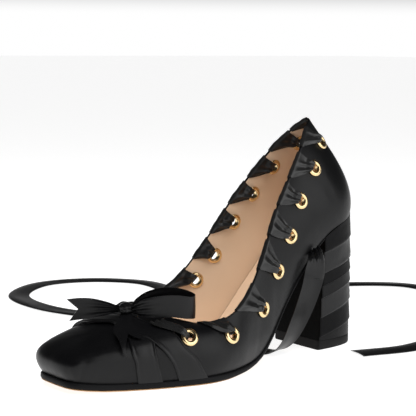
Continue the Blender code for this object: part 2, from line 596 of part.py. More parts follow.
def build():
    for obj in list(bpy.data.objects):
        bpy.data.objects.remove(obj)
    satin = make_material("black_satin", (0.012, 0.012, 0.013), 0.35)
    edge = make_material("covered_edge", (0.02, 0.02, 0.021), 0.45)
    tan = make_material("tan_outsole", (0.55, 0.33, 0.17), 0.55)
    lining = make_material("beige_insole", (0.68, 0.48, 0.31), 0.6)
    rubber = make_material("black_top_piece", (0.015, 0.015, 0.015), 0.7)
    gold = make_material("pale_gold", (0.85, 0.66, 0.36), 0.25, 1.0)

    front = -222.7
    toe_rows = front + np.array([0.03, 0.3, 1.0, 2.2, 4.4, 8, 13, 20, 29, 38])
    sole_rows = np.concatenate([toe_rows, [-174, -163, -152, -141, -128, -120, -112, -106, -101, -97,
                                           -93, -88, -83, -77, -70, -62, -53, -44, BREAST_TOP_Y - GAP]])
    margin = lambda y: read_curve(SOLE_MARGIN, y)
    underside = lambda y: read_curve(UNDERSIDE, y)
    out_top = lambda y: underside(y) + np.minimum(OUTSOLE_THICK, read_curve(SOLE_THICK, y) * 0.4)
    sole_layer("outsole", underside, out_top, margin, sole_rows, tan)
    sole_layer("sole_edge", lambda y: out_top(y) + 0.1, seat_height, margin, sole_rows, edge)
    inside_rows = -221.8 + WALL + 0.7 + np.array([0, 0.4, 1.3, 3, 6, 11, 18, 28, 39])
    back = 2.5 - WALL - 0.7
    insole_rows = np.concatenate([inside_rows, [-170, -158, -146, -134, -124, -115, -107, -100, -94,
                                                -88, -82, -75, -67, -58, -49, -40, -33, -26, -18, -11],
                                  back - np.array([6, 3, 1.2, 0.3, 0.0])])
    sole_layer("insole", lambda y: wall_foot(y) + 0.25, lambda y: wall_foot(y) + 0.25 + INSOLE_THICK,
               -WALL - 0.6, insole_rows, lining)
    build_upper(satin)
    build_heel(satin)
    part = 1 - TOP_PIECE_HIGH / seat_height(BREAST_TOP_Y)
    tube("top_piece", [heel_ring(1, 0, 0, -0.3), heel_ring(1, 0.6, 0), heel_ring(part, TOP_PIECE_HIGH, 0)],
         rubber)
    number = {1: 0, -1: 0}
    for side, row, up in eyelet_places():
        number[side] += 1
        build_eyelet(f"eyelet_{'lateral' if side > 0 else 'medial'}_{number[side]}", row, up, gold)
    build_lacing("lacing_lateral", 1, satin)
    build_lacing("lacing_medial", -1, satin)
    build_band("band_front", BAND_FRONT, satin)
    build_band("band_rear", BAND_REAR, satin)
    build_bow("bow", satin)
    ribbon_from_table("tie_lateral", TIE_LATERAL, satin, 2)
    ribbon_from_table("tie_medial", TIE_MEDIAL, satin, 3)


build()
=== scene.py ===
# %% [markdown]
# # A black satin lace up heel
# This lesson dresses the plain solids of a left shoe: a satin court shoe with a square toe,
# a high block heel wound in ribbon, and a ribbon whipped round its collar through gold eyelets.
# Every part is worked out from short tables in millimetres, so a size is changed in one place.

# %% Load the frame
import bpy
import numpy as np
from math import pi, radians
from mathutils import Matrix, Vector


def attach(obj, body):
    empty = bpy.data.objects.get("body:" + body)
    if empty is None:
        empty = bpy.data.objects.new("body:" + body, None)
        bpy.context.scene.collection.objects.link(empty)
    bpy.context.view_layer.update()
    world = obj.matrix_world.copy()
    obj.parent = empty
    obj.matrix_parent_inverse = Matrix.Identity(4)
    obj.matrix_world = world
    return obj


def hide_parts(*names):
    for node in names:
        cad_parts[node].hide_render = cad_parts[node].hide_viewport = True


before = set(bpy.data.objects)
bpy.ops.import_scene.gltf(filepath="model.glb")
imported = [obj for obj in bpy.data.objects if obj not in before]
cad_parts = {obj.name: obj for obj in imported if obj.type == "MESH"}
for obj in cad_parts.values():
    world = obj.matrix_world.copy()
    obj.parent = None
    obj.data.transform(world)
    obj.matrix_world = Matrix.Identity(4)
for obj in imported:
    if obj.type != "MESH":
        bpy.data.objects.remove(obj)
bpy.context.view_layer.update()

# %% [markdown]
# ## The camera first
# The camera looks at the outer side of the toe from a little above. A long lens far away keeps
# the shoe's lines calm, as in a shop picture. We place it by its distance and its two angles,
# and slide it sideways and upwards until the shoe sits where it should in a square picture.

# %% Place the camera
PICTURE_WIDE = 416
VIEW_TURN, VIEW_DOWN, VIEW_ROLL = radians(51.09), radians(7.30), radians(0.53)
VIEW_FAR, VIEW_RIGHT, VIEW_UP = 0.86938, -0.08632, 0.08579
FOCAL_PIXELS, FILM_WIDE = 1294.61, 36.0
TABLE_TO_SHOE = Vector((0.0, 0.017, 0.0))

back = Vector((np.sin(VIEW_TURN) * np.cos(VIEW_DOWN), -np.cos(VIEW_TURN) * np.cos(VIEW_DOWN),
               np.sin(VIEW_DOWN)))
right = Vector((np.cos(VIEW_TURN), np.sin(VIEW_TURN), 0.0))
up = back.cross(right)
eye = bpy.data.cameras.new("eye")
eye.lens, eye.sensor_width = FILM_WIDE * FOCAL_PIXELS / PICTURE_WIDE, FILM_WIDE
eye.clip_start, eye.clip_end = 0.05, 60
camera = bpy.data.objects.new("camera", eye)
bpy.context.scene.collection.objects.link(camera)
turned = Matrix((right, up, back)).transposed() @ Matrix.Rotation(VIEW_ROLL, 3, "Z")
camera.matrix_world = Matrix.Translation(back * VIEW_FAR + right * VIEW_RIGHT + up * VIEW_UP
                                         + TABLE_TO_SHOE) @ turned.to_4x4()
bpy.context.scene.camera = camera
print("lens", round(eye.lens, 1), "mm at", [round(v, 3) for v in camera.location])

# %% [markdown]
# ## The shoe's sizes
# A last maker draws a shoe as sections. Here each row of `UPPER` is one section line from the
# sole to the collar, listed from the middle of the toe round to the heel's back, for both sides
# at once. Sizes are millimetres, y runs from the heel's back (0) towards the toe (minus).

# %% Tables of sizes
HEEL_CENTRE_Y = -17.0
WALL, GAP = 1.7, 0.3
INSOLE_THICK = 1.8
BREAST_TOP_Y, BREAST_FOOT_Y = -33.3, -35.9
HEEL_HALF_TOP, HEEL_HALF_FOOT = 22.6, 21.1
HEEL_DEPTH_TOP, HEEL_DEPTH_FOOT = 35.7, 38.3
TOP_PIECE_HIGH = 6.0
EYELET_HOLE, HOLE_INSET, RIM_REACH = 4.3, 0.4, 1.2
UNDERSIDE = [(-224, 3.8), (-219, 2.9), (-213, 2.0), (-203, 1.0), (-192, 0.4), (-181, 0.1),
             (-174, 0), (-128, 0), (-122, 0.3), (-112, 1.1), (-106.7, 2.0), (-101, 3.4),
             (-95.2, 5.9), (-89.7, 9.8), (-83, 16.8), (-77.2, 24.0), (-70.8, 32.1),
             (-63.5, 40.6), (-57.5, 47.4), (-49, 57.0), (-40, 66.0), (-33, 72.0),
             (-26, 75.4), (-14, 80.2), (4, 86.8)]
SOLE_THICK = [(-224, 4.1), (-130, 4.1), (-105, 3.6), (-80, 2.4), (-33, 1.6), (4, 1.6)]
SOLE_MARGIN = [(-224, 1.0), (-130, 1.0), (-60, 0.5), (4, 0.2)]
UPPER = {
    "columns": ("foot_y", "foot_lateral", "foot_medial", "edge_x", "edge_y", "edge_z",
                "low_out", "low_up", "high_out", "high_up", "lean"),
    "toe centre": (-221.8, 0, 0, 0, -158.5, 37.2, 14, 19, 48.5, -12, 0),
    "toe front": (-221.5, 8.5, -8.5, 4.2, -158.1, 37.1, 14, 19, 48, -11.5, 0),
    "toe corner": (-219.4, 15.4, -15.6, 8.2, -157, 36.8, 13, 18.5, 47, -10.5, 0),
    "toe side": (-213.0, 20.0, -21.0, 12.5, -155, 36.4, 9.5, 18, 42, -8, 0),
    "small toes": (-202.0, 24.6, -26.4, 17, -152.3, 35.8, 7, 18, 35, -5.5, 0),
    "vamp front": (-186.0, 30.2, -33.0, 21.8, -149.2, 35.1, 5, 17.5, 26, -1.2, 0),
    "vamp side": (-169.0, 36.2, -38.4, 26.8, -145.6, 34.2, 5, 16, 18, 1.5, 0),
    "ball": (-153.0, 40.9, -39.8, 31.5, -140.8, 33.4, 5, 13, 12.5, 0, 0),
    "ball back": (-139.0, 43.0, -37.6, 35.6, -133.0, 33.9, 5, 11, 8, -5, 0),
    "throat side": (-123.5, 41.2, -32.6, 37.6, -122.0, 37.0, 5, 11, 4, -9, 0),
    "arch front": (-108.5, 37.3, -27.6, 36.2, -111.0, 43.8, 4.5, 12, 1, -11, -0.05),
    "arch": (-95.5, 33.3, -24.2, 33.4, -101.3, 53.6, 4, 15, 0, -13, -0.2),
    "waist front": (-83.0, 29.9, -22.2, 30.0, -91.8, 66.6, 4, 17, 0, -15, -0.33),
    "waist": (-70.5, 26.5, -21.0, 26.7, -83.9, 79.2, 4, 18, 0.5, -16, -0.4),
    "shank": (-57.5, 24.3, -20.6, 23.6, -76.2, 92.0, 4, 19, 1.5, -16, -0.43),
    "shank back": (-43.5, 22.9, -20.8, 20.6, -66.2, 105.3, 4, 20, 2, -16, -0.43),
    "seat": (-28.5, 22.0, -20.9, 17.4, -57.0, 117.0, 4, 20, 3, -16, -0.4),
    "seat side": (-12.0, 19.6, -19.2, 13.0, -46.0, 130.3, 5.5, 20, 5.5, -14, -0.3),
    "seat corner": (-1.0, 11.2, -11.0, 6.6, -35.8, 141.3, 7.5, 21, 8.5, -12.5, -0.12),
    "heel back": (2.5, 0, 0, 0, -28.5, 147.6, 8.5, 22, 9.5, -12, 0),
}
EYELETS = {
    "columns": ("lateral_row", "lateral_up", "medial_row", "medial_up"),
    1: (6.41, 0.605, 6.60, 0.640), 2: (8.71, 0.667, 8.95, 0.690),
    3: (11.34, 0.520, 11.31, 0.705), 4: (12.88, 0.530, 12.50, 0.715),
    5: (14.21, 0.570, 13.99, 0.755), 6: (15.45, 0.686, 15.27, 0.770),
    7: (16.86, 0.733, 16.60, 0.790), 8: (18.20, 0.765, 17.93, 0.795),
}
print("section lines:", len(UPPER) - 1, "eyelets a side:", len(EYELETS) - 1)

# %% [markdown]
# ## Smooth curves through a table
# A table has corners, a shoe has none. Two kinds of spline carry the rows: a closed one that
# comes back to its start, for sections once round the shoe, and an open one for ribbons. Both
# go exactly through the numbers, which is why a size in a table is a size on the shoe.

# %% Splines
def table_rows(table):
    """The rows of a table as an array."""
    return np.array([row for name, row in table.items() if name != "columns"], float)


def read_curve(points, y):
    """A size at y, from a list of (y, size)."""
    points = np.array(points, float)
    return np.interp(y, points[:, 0], points[:, 1])


def closed_spline(points):
    """A smooth closed curve through rows of numbers, asked by 0..1 round."""
    count = len(points)
    system = 4 * np.eye(count) + np.roll(np.eye(count), 1, 0) + np.roll(np.eye(count), -1, 0)
    slopes = np.linalg.solve(system, 3 * (np.roll(points, -1, 0) - np.roll(points, 1, 0)))

    def at(around):
        place = np.mod(np.atleast_1d(around), 1.0) * count
        first = np.floor(place).astype(int) % count
        second, t = (first + 1) % count, (place - np.floor(place))[:, None]
        return (points[first] * (2 * t**3 - 3 * t**2 + 1) + slopes[first] * (t**3 - 2 * t**2 + t)
                + points[second] * (3 * t**2 - 2 * t**3) + slopes[second] * (t**3 - t**2))
    return at


def open_spline(points, steps):
    """Points along a smooth curve through the rows of a table."""
    points = np.array(points, float)
    padded = np.vstack([2 * points[0] - points[1], points, 2 * points[-1] - points[-2]])
    result = []
    for a, b, c, d in zip(padded, padded[1:], padded[2:], padded[3:]):
        for t in np.arange(steps) / steps:
            result.append(0.5 * (2 * b + (c - a) * t + (2 * a - 5 * b + 4 * c - d) * t**2
                                 + (3 * b - a - 3 * c + d) * t**3))
    return np.array(result + [points[-1]])


def unit(vectors):
    """The same directions, one long."""
    return vectors / np.linalg.norm(vectors, axis=-1, keepdims=True)


def lengths_along(line):
    """How far along a line of points each of them lies."""
    return np.append(0, np.cumsum(np.linalg.norm(np.diff(line, axis=0), axis=1)))


print("underside under the arch:", round(float(read_curve(UNDERSIDE, -80)), 1), "mm up")

# %% [markdown]
# ## The wall of the upper
# The satin skin is one surface. A place on it has two numbers: `row`, how far round the shoe in
# table rows, and `up`, from 0 at the sole to 1 at the collar. Between sole and collar the wall
# bulges as a Bezier curve does, so four control points a row are enough. Everything that lies
# on the shoe (eyelets, bands, lacing) is then placed by row and up, and can never float away.

# %% The wall's surface
ROWS_ROUND = 2 * (len(UPPER) - 1) - 2


def upper_controls():
    """Four control points of the wall for every row, once round the shoe."""
    names, rows = UPPER["columns"], table_rows(UPPER)
    round_rows = [(row, 1) for row in rows] + [(row, -1) for row in rows[-2:0:-1]]
    size = {name: np.array([row[names.index(name)] for row, side in round_rows]) for name in names}
    side = np.array([side for row, side in round_rows])
    foot_x = np.where(side > 0, size["foot_lateral"], size["foot_medial"])
    foot_z = read_curve(UNDERSIDE, size["foot_y"]) + read_curve(SOLE_THICK, size["foot_y"]) + GAP
    foot = np.stack([foot_x, size["foot_y"], foot_z], 1)
    edge = np.stack([side * size["edge_x"], size["edge_y"], size["edge_z"]], 1)
    along = np.roll(foot, -1, 0) - np.roll(foot, 1, 0)
    outward = unit(np.stack([along[:, 1], -along[:, 0], 0 * along[:, 0]], 1))
    rise = np.stack([0 * side, size["lean"], 1 + 0 * size["lean"]], 1)
    low = foot + size["low_out"][:, None] * outward + size["low_up"][:, None] * rise
    reach = unit((foot - edge) * [1, 1, 0] + 20 * outward)
    high = edge + size["high_out"][:, None] * reach + size["high_up"][:, None] * rise
    return np.hstack([foot, low, high, edge])


wall_controls = closed_spline(upper_controls())


def wall_surface(row, up):
    """A point of the upper's outside, row in table rows and up from 0 to 1."""
    row, up = np.broadcast_arrays(np.asarray(row, float), np.asarray(up, float))
    four = wall_controls(row.ravel() / ROWS_ROUND).reshape(row.shape + (4, 3))
    t = up[..., None]
    return ((1 - t)**3 * four[..., 0, :] + 3 * t * (1 - t)**2 * four[..., 1, :]
            + 3 * t**2 * (1 - t) * four[..., 2, :] + t**3 * four[..., 3, :])


def wall_frame(row, up):
    """Outward, round and upward directions of the wall."""
    step = 1e-3
    round_way = unit(wall_surface(row + step, up) - wall_surface(row - step, up))
    up_way = unit(wall_surface(row, np.minimum(up + step, 1))
                  - wall_surface(row, np.maximum(up - step, 0)))
    return unit(np.cross(round_way, up_way)), round_way, up_way


def wall_point(row, up, lift):
    """A point held off the wall's outside by lift mm."""
    row, up, lift = np.broadcast_arrays(*(np.asarray(v, float) for v in (row, up, lift)))
    return wall_surface(row, up) + lift[..., None] * wall_frame(row, up)[0]


FOOT_ROWS = np.linspace(0, ROWS_ROUND / 2, 1200)
FOOT_LINE = wall_surface(FOOT_ROWS, 0 * FOOT_ROWS)
print("collar's peak", round(float(wall_surface(19, 1)[2]), 1), "mm above the floor")

# %% [markdown]
# ## Colours and node helpers
# A screen colour such as `#171718` is stored in sRGB, while Blender's shaders want linear light.
# One function turns the one into the other. Another adds a shader node, sets its inputs and
# links it, which keeps every material below short enough to read at a glance.

# %% Colour and node helpers
def colour(hex_text):
    """An sRGB hex colour as linear red, green, blue and full alpha."""
    parts = [int(hex_text[i:i + 2], 16) / 255 for i in (1, 3, 5)]
    return tuple(p / 12.92 if p <= 0.04045 else ((p + 0.055) / 1.055)**2.4 for p in parts) + (1.0,)


def fill(tree, node, **inputs):
    """Fills a node's inputs; a tuple (node, output) is linked, anything else is set."""
    for name, value in inputs.items():
        socket = node.inputs[int(name[1:]) if name[1:].isdigit() else name.replace("_", " ")]
        if isinstance(value, tuple) and isinstance(value[0], bpy.types.Node):
            tree.links.new(value[0].outputs[value[1]], socket)
        else:
            socket.default_value = value


def add(tree, kind, settings=None, **inputs):
    """A new node with its settings and its inputs."""
    node = tree.nodes.new(kind)
    for name, value in (settings or {}).items():
        setattr(node, name, value)
    fill(tree, node, **inputs)
    return node


def maths(tree, operation, *values, kind="ShaderNodeMath"):
    """A node that works out one sum."""
    return add(tree, kind, {"operation": operation}, **{f"_{k}": v for k, v in enumerate(values)})


def per_mm(size):
    """The scale of a pattern whose features are size mm long."""
    return 1000 / size


def start_material(name):
    """An empty material with its shader and its place on the shoe in metres."""
    material = bpy.data.materials.new(name)
    material.use_nodes = True
    tree = material.node_tree
    shader = next(n for n in tree.nodes if n.type == "BSDF_PRINCIPLED")
    return material, tree, shader, (add(tree, "ShaderNodeTexCoord"), "Object")


print("satin black in linear light:", [round(v, 4) for v in colour("#171718")[:3]])

# %% [markdown]
# ## Black satin
# Satin is woven so that long threads lie over the surface, which gives a smooth face with a wide
# soft shine. It could be a glossy plastic with a blurred reflection, but cloth also ripples a
# little over whatever it covers. So the shader is dark, fairly smooth, slightly uneven in tone,
# and carries two bumps: threads (drawn 0.5 mm apart, coarser than real, so that they show) and
# soft ripples some millimetres long. The whipping takes a lighter, shinier copy of the ribbon's
# satin: painted sheen for the highlights on its pleats. The heel's turns take three copies, darker
# to lighter: painted shade and painted sheen for how light catches each turn. The heel's breast
# takes a darker, matt copy: painted shade where it faces into the shade under the arch.

# %% Satin
WAVE_LENGTH = 6.3               # a wave texture at scale 1 repeats about every 1 / 6.3


def woven_satin(name, deep, face, roughness, shine=0.22, thread_mm=0.5, ripple_mm=9.0,
                ripple_high=0.00035):
    material, tree, shader, place = start_material(name)
    patches = add(tree, "ShaderNodeTexNoise", Vector=place, Scale=per_mm(26), Detail=3.0)
    tone = add(tree, "ShaderNodeMix", {"data_type": "RGBA"}, _0=(patches, "Fac"),
               _6=colour(deep), _7=colour(face))
    gloss = add(tree, "ShaderNodeMapRange", Value=(patches, "Fac"), To_Min=roughness - 0.05,
                To_Max=roughness + 0.05)
    threads = add(tree, "ShaderNodeTexWave", {"bands_direction": "DIAGONAL"}, Vector=place,
                  Scale=per_mm(thread_mm) / WAVE_LENGTH, Distortion=1.5, Detail=1.0)
    weave = add(tree, "ShaderNodeBump", Height=(threads, "Fac"), Strength=0.12, Distance=0.0001)
    waves = add(tree, "ShaderNodeTexNoise", Vector=place, Scale=per_mm(ripple_mm), Detail=2.0)
    ripples = add(tree, "ShaderNodeBump", Height=(waves, "Fac"), Normal=(weave, "Normal"),
                  Strength=0.5, Distance=ripple_high)
    fill(tree, shader, Base_Color=(tone, 2), Roughness=(gloss, 0), Normal=(ripples, 0),
         Specular_IOR_Level=shine)
    return material


shoe_satin = woven_satin("woven_shoe_satin", "#060607", "#0a0a0b", 0.36)
ribbon_satin = woven_satin("woven_ribbon_satin", "#070708", "#0d0d0e", 0.33, shine=0.26,
                           ripple_mm=6.0, ripple_high=0.0002)
# Three copies of one satin for the heel's turns, darker to lighter: painted shade, mid-tone and
# painted sheen.
turn_painted_shade = woven_satin("wound_satin_painted_shade", "#060607", "#0a0a0b", 0.46, shine=0.085, ripple_mm=5.0)
turn_painted_midtone = woven_satin("wound_satin_painted_midtone", "#070708", "#0c0c0d", 0.44, shine=0.155,
                         ripple_mm=5.0)
turn_painted_sheen = woven_satin("wound_satin_painted_sheen", "#080809", "#0f0f10", 0.4, shine=0.27,
                          ripple_mm=5.0)
# A darker, matt copy for the heel's breast: painted shade where it faces into the shade under the
# arch.
breast_painted_shade = woven_satin("breast_satin_painted_shade", "#030303", "#050505", 0.6, shine=0.05)
covered_edge = woven_satin("satin_covered_edge", "#0d0d0e", "#141415", 0.5, shine=0.1)
# The whipping's copy is lighter and shinier: painted sheen for the highlights on its pleats.
lacing_painted_sheen = woven_satin("lacing_satin_painted_sheen", "#111111", "#1b1b1b", 0.3, shine=0.42)
print("satins:", shoe_satin.name, ribbon_satin.name, covered_edge.name)

# %% [markdown]
# ## Leather, rubber and plated brass
# The lining and the insole are thin pale leather: matt, with a grain of about 0.7 mm and gentle
# stains of tone. The outsole is a smooth tanned board, the heel's tip a dense black rubber. The
# eyelets are rolled brass with a pale gold plating, so they are full metal, quite smooth, and
# faintly brushed by the roller.

# %% Leather
def tanned_leather(name, shade, light, roughness, grain_mm, grain_high):
    material, tree, shader, place = start_material(name)
    stains = add(tree, "ShaderNodeTexNoise", Vector=place, Scale=per_mm(35), Detail=4.0)
    tone = add(tree, "ShaderNodeMix", {"data_type": "RGBA"}, _0=(stains, "Fac"),
               _6=colour(shade), _7=colour(light))
    grain = add(tree, "ShaderNodeTexVoronoi", Vector=place, Scale=per_mm(grain_mm))
    bump = add(tree, "ShaderNodeBump", Height=(grain, "Distance"), Strength=0.35,
               Distance=grain_high)
    fill(tree, shader, Base_Color=(tone, 2), Normal=(bump, 0), Roughness=roughness)
    return material


lining_leather = tanned_leather("pale_lining_leather", "#dfc0a1", "#e9cfb3", 0.5, 0.7, 0.00008)
insole_leather = tanned_leather("pale_insole_leather", "#ddbd9e", "#e6caad", 0.45, 0.8, 0.00006)
outsole_board = tanned_leather("tanned_outsole_board", "#b98c5e", "#cfa376", 0.42, 1.2, 0.00004)
print("leathers:", lining_leather.name, insole_leather.name, outsole_board.name)


# %% Rubber and gold
def moulded_rubber(name, tone):
    material, tree, shader, place = start_material(name)
    crumb = add(tree, "ShaderNodeTexNoise", Vector=place, Scale=per_mm(0.9), Detail=3.0)
    bump = add(tree, "ShaderNodeBump", Height=(crumb, "Fac"), Strength=0.3, Distance=0.00008)
    fill(tree, shader, Normal=(bump, 0), Base_Color=colour(tone), Roughness=0.62,
         Specular_IOR_Level=0.2)
    return material


def plated_brass(name, tone):
    material, tree, shader, place = start_material(name)
    brushed = add(tree, "ShaderNodeTexNoise", Vector=place, Scale=per_mm(0.6), Detail=2.0)
    gloss = add(tree, "ShaderNodeMapRange", Value=(brushed, "Fac"), To_Min=0.16, To_Max=0.3)
    fill(tree, shader, Roughness=(gloss, 0), Base_Color=colour(tone), Metallic=1.0)
    return material


heel_rubber = moulded_rubber("moulded_tip_rubber", "#070707")
pale_gold = plated_brass("pale_gold_plated_brass", "#efd3a0")
print("tip and eyelets:", heel_rubber.name, pale_gold.name)

# %% [markdown]
# ## From numbers to a mesh
# A mesh is a list of points and a list of faces that name them. Most pieces here are grids of
# points, bent and closed. `add_piece` moves a piece from the table's millimetres to the frame's
# metres, gives it a finish, lets it ride on the shoe and stand in for the solids it replaces.

# %% Mesh helpers
def to_frame(points):
    """Table millimetres, measured from the heel's back, in the frame's metres."""
    return (np.array(points, float) - [0, HEEL_CENTRE_Y, 0]) * 0.001


def add_piece(name, points, faces, materials, replaced=(), material_of=None):
    """A shaded piece of the shoe from points in mm."""
    mesh = bpy.data.meshes.new(name)
    mesh.from_pydata([tuple(p) for p in to_frame(points)], [], [list(map(int, f)) for f in faces])
    mesh.validate()
    for material in materials:
        mesh.materials.append(material)
    if material_of is not None:
        mesh.polygons.foreach_set("material_index", np.array(material_of, np.int32))
    mesh.shade_smooth()
    mesh.set_sharp_from_angle(angle=radians(48))
    piece = bpy.data.objects.new(name, mesh)
    bpy.context.scene.collection.objects.link(piece)
    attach(piece, "root")
    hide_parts(*replaced)
    return piece


def grid_faces(rows, columns, closed_rows=False, closed_columns=False, start=0):
    """Four-sided faces of a grid of points kept row by row."""
    i, j = np.meshgrid(np.arange(rows if closed_rows else rows - 1),
                       np.arange(columns if closed_columns else columns - 1), indexing="ij")
    i, j = i.ravel(), j.ravel()
    i2, j2 = (i + 1) % rows, (j + 1) % columns
    faces = np.stack([i * columns + j, i2 * columns + j, i2 * columns + j2, i * columns + j2], 1)
    return (faces + start).tolist()


def cloth_slab(front, behind, start=0):
    """Points and faces of a thin closed piece between two grids of the same size."""
    rows, columns, _ = front.shape
    half = rows * columns
    skin = grid_faces(rows, columns)
    faces = skin + [[half + k for k in face[::-1]] for face in skin]
    rim = ([i * columns for i in range(rows)]
           + [(rows - 1) * columns + j for j in range(1, columns)]
           + [i * columns + columns - 1 for i in range(rows - 2, -1, -1)]
           + list(range(columns - 2, 0, -1)))
    faces += [[b, a, half + a, half + b] for a, b in zip(rim, rim[1:] + rim[:1])]
    points = np.vstack([front.reshape(-1, 3), behind.reshape(-1, 3)])
    return points, [[k + start for k in face] for face in faces]


def join_slabs(pairs):
    """Points and faces of several pairs of grids, closed and put together."""
    points, faces = [], []
    for front, behind in pairs:
        more, more_faces = cloth_slab(front, behind, sum(len(p) for p in points))
        points.append(more)
        faces += more_faces
    return np.vstack(points), faces


def end_caps(rings, count, start=0):
    """The two end faces of a stack of rings."""
    return [[start + k for k in range(count)][::-1],
            [start + (rings - 1) * count + k for k in range(count)]]


def ease(x):
    """A soft step from 0 to 1."""
    x = np.clip(x, 0, 1)
    return x * x * (3 - 2 * x)


def ripple(a, b, seed):
    """Smooth hand-made unevenness from -1 to 1, the same every time."""
    total = 0
    for k in range(1, 6):
        turn = seed * 1.7 + k * 2.4
        wave = (a * np.cos(turn) + b * np.sin(turn)) * (0.7 + 0.45 * k) + turn * 3
        total = total + np.sin(wave) / k
    return total / 2.0


print("a grid of 3 x 3 points has", len(grid_faces(3, 3)), "faces")

# %% [markdown]
# ## Folds of the satin
# Satin pulled over a last is never quite even. Close to the sole it is gathered in small pleats
# at the toe, a crease stands at each toe corner, and each turn of the whipping pulls the collar
# in a little. Each fold is listed one by one: where it starts and ends on the wall, how wide it
# is and how deep. The wall is then moved in or out by the sum of them all.

# %% Folds listed one by one
FOLDS = {
    "columns": ("row_a", "up_a", "row_b", "up_b", "wide", "deep"),
    "near toe corner ridge": (2.25, 0.03, 2.0, 0.36, 2.6, 0.45),
    "near toe corner trough": (2.75, 0.02, 2.55, 0.3, 1.8, -0.4),
    "far toe corner ridge": (-2.25, 0.03, -2.0, 0.36, 2.6, 0.45),
    "far toe corner trough": (-2.75, 0.02, -2.55, 0.3, 1.8, -0.4),
    "vamp pull to eyelet 1": (6.9, 0.35, 6.6, 0.5, 2.5, -0.18),
    "vamp pull to eyelet 2": (8.2, 0.3, 8.6, 0.55, 3.5, -0.2),
    "ball roll": (9.4, 0.15, 9.8, 0.6, 5, 0.2),
    "arch pull": (10.6, 0.1, 11.2, 0.42, 3.5, -0.2),
    "waist pull": (12.2, 0.08, 12.7, 0.42, 4, -0.18),
    "quarter roll": (15.4, 0.1, 15.2, 0.55, 5, 0.2),
    "counter pull": (16.6, 0.15, 16.8, 0.62, 4, -0.18),
    "back seam": (19.0, 0.0, 19.0, 0.98, 1.1, -0.22),
    "far vamp pull": (-7.9, 0.3, -8.4, 0.6, 3.5, -0.2),
    "far ball roll": (-9.4, 0.15, -9.8, 0.6, 5, 0.2),
    "far waist pull": (-12.2, 0.08, -12.7, 0.5, 4, -0.18),
}


def eyelet_places():
    """Eyelets in the ribbon's order: lateral 1 to 8, then medial 8 to 1, as (name, row, up)."""
    rows = table_rows(EYELETS)
    lateral = [(f"lateral_{k + 1}", row[0], row[1]) for k, row in enumerate(rows)]
    medial = [(f"medial_{k + 1}", ROWS_ROUND - row[2], row[3]) for k, row in enumerate(rows)]
    return lateral + medial[::-1]


UNEVEN, GATHER_DEEP, RING_PULL = 0.10, 0.16, 0.22    # mm the satin moves in or out


def wall_relief(row, up):
    """How far folds move the satin outward, in mm."""
    here = wall_surface(row, up)
    total = UNEVEN * ripple(here[..., 0] / 9, (here[..., 1] + here[..., 2]) / 9, 1)
    for row_a, up_a, row_b, up_b, wide, deep in table_rows(FOLDS):
        part = np.linspace(0, 1, 9)
        line = wall_surface(row_a + (row_b - row_a) * part, up_a + (up_b - up_a) * part)
        away = np.linalg.norm(here[..., None, :] - line, axis=-1)
        nearest = away.argmin(-1)
        fade = np.sin(pi * np.clip((nearest + 0.6) / 9.2, 0, 1)) ** 0.5
        total = total + deep * fade * np.exp(-(away.min(-1) / wide) ** 2)
    signed = (row + ROWS_ROUND / 2) % ROWS_ROUND - ROWS_ROUND / 2
    gathers = np.exp(-((np.abs(signed) - 3.2) / 2.3) ** 2) * np.clip(1 - up / 0.16, 0, 1)
    total = total + GATHER_DEEP * gathers * np.sin(signed * 9.5 + 2 * np.sin(signed * 2.1))
    for _, eyelet_row, eyelet_up in eyelet_places():
        centre = wall_surface(eyelet_row, eyelet_up)
        away = np.linalg.norm(here - centre, axis=-1)
        total = total - RING_PULL * np.exp(-((away - 4) / 4.5) ** 2) * (away > 0)
    return total * np.clip((1.0 - up) / 0.03, 0, 1) * np.clip(up / 0.02, 0.2, 1)


print("folds placed by hand:", len(FOLDS) - 1)

# %% [markdown]
# ## The upper
# The upper is a sandwich of satin, board and leather 1.7 mm thick. We make it as one closed
# skin: up the outside, over a rounded collar edge, and down the inside. The eyelet holes are
# cut by leaving out the cells near each centre, pushing the ragged cells' points onto a true
# circle, and joining outside to inside. The faces of the inside take the lining's leather.

# %% Build the upper
def cell_corners(cells, lines):
    """Marks the grid's points that touch a marked cell."""
    marks = np.zeros((len(cells), lines), bool)
    for a in (0, 1):
        for b in (0, 1):
            marks[:, b:lines - 1 + b] |= np.roll(cells, a, 0)
    return marks


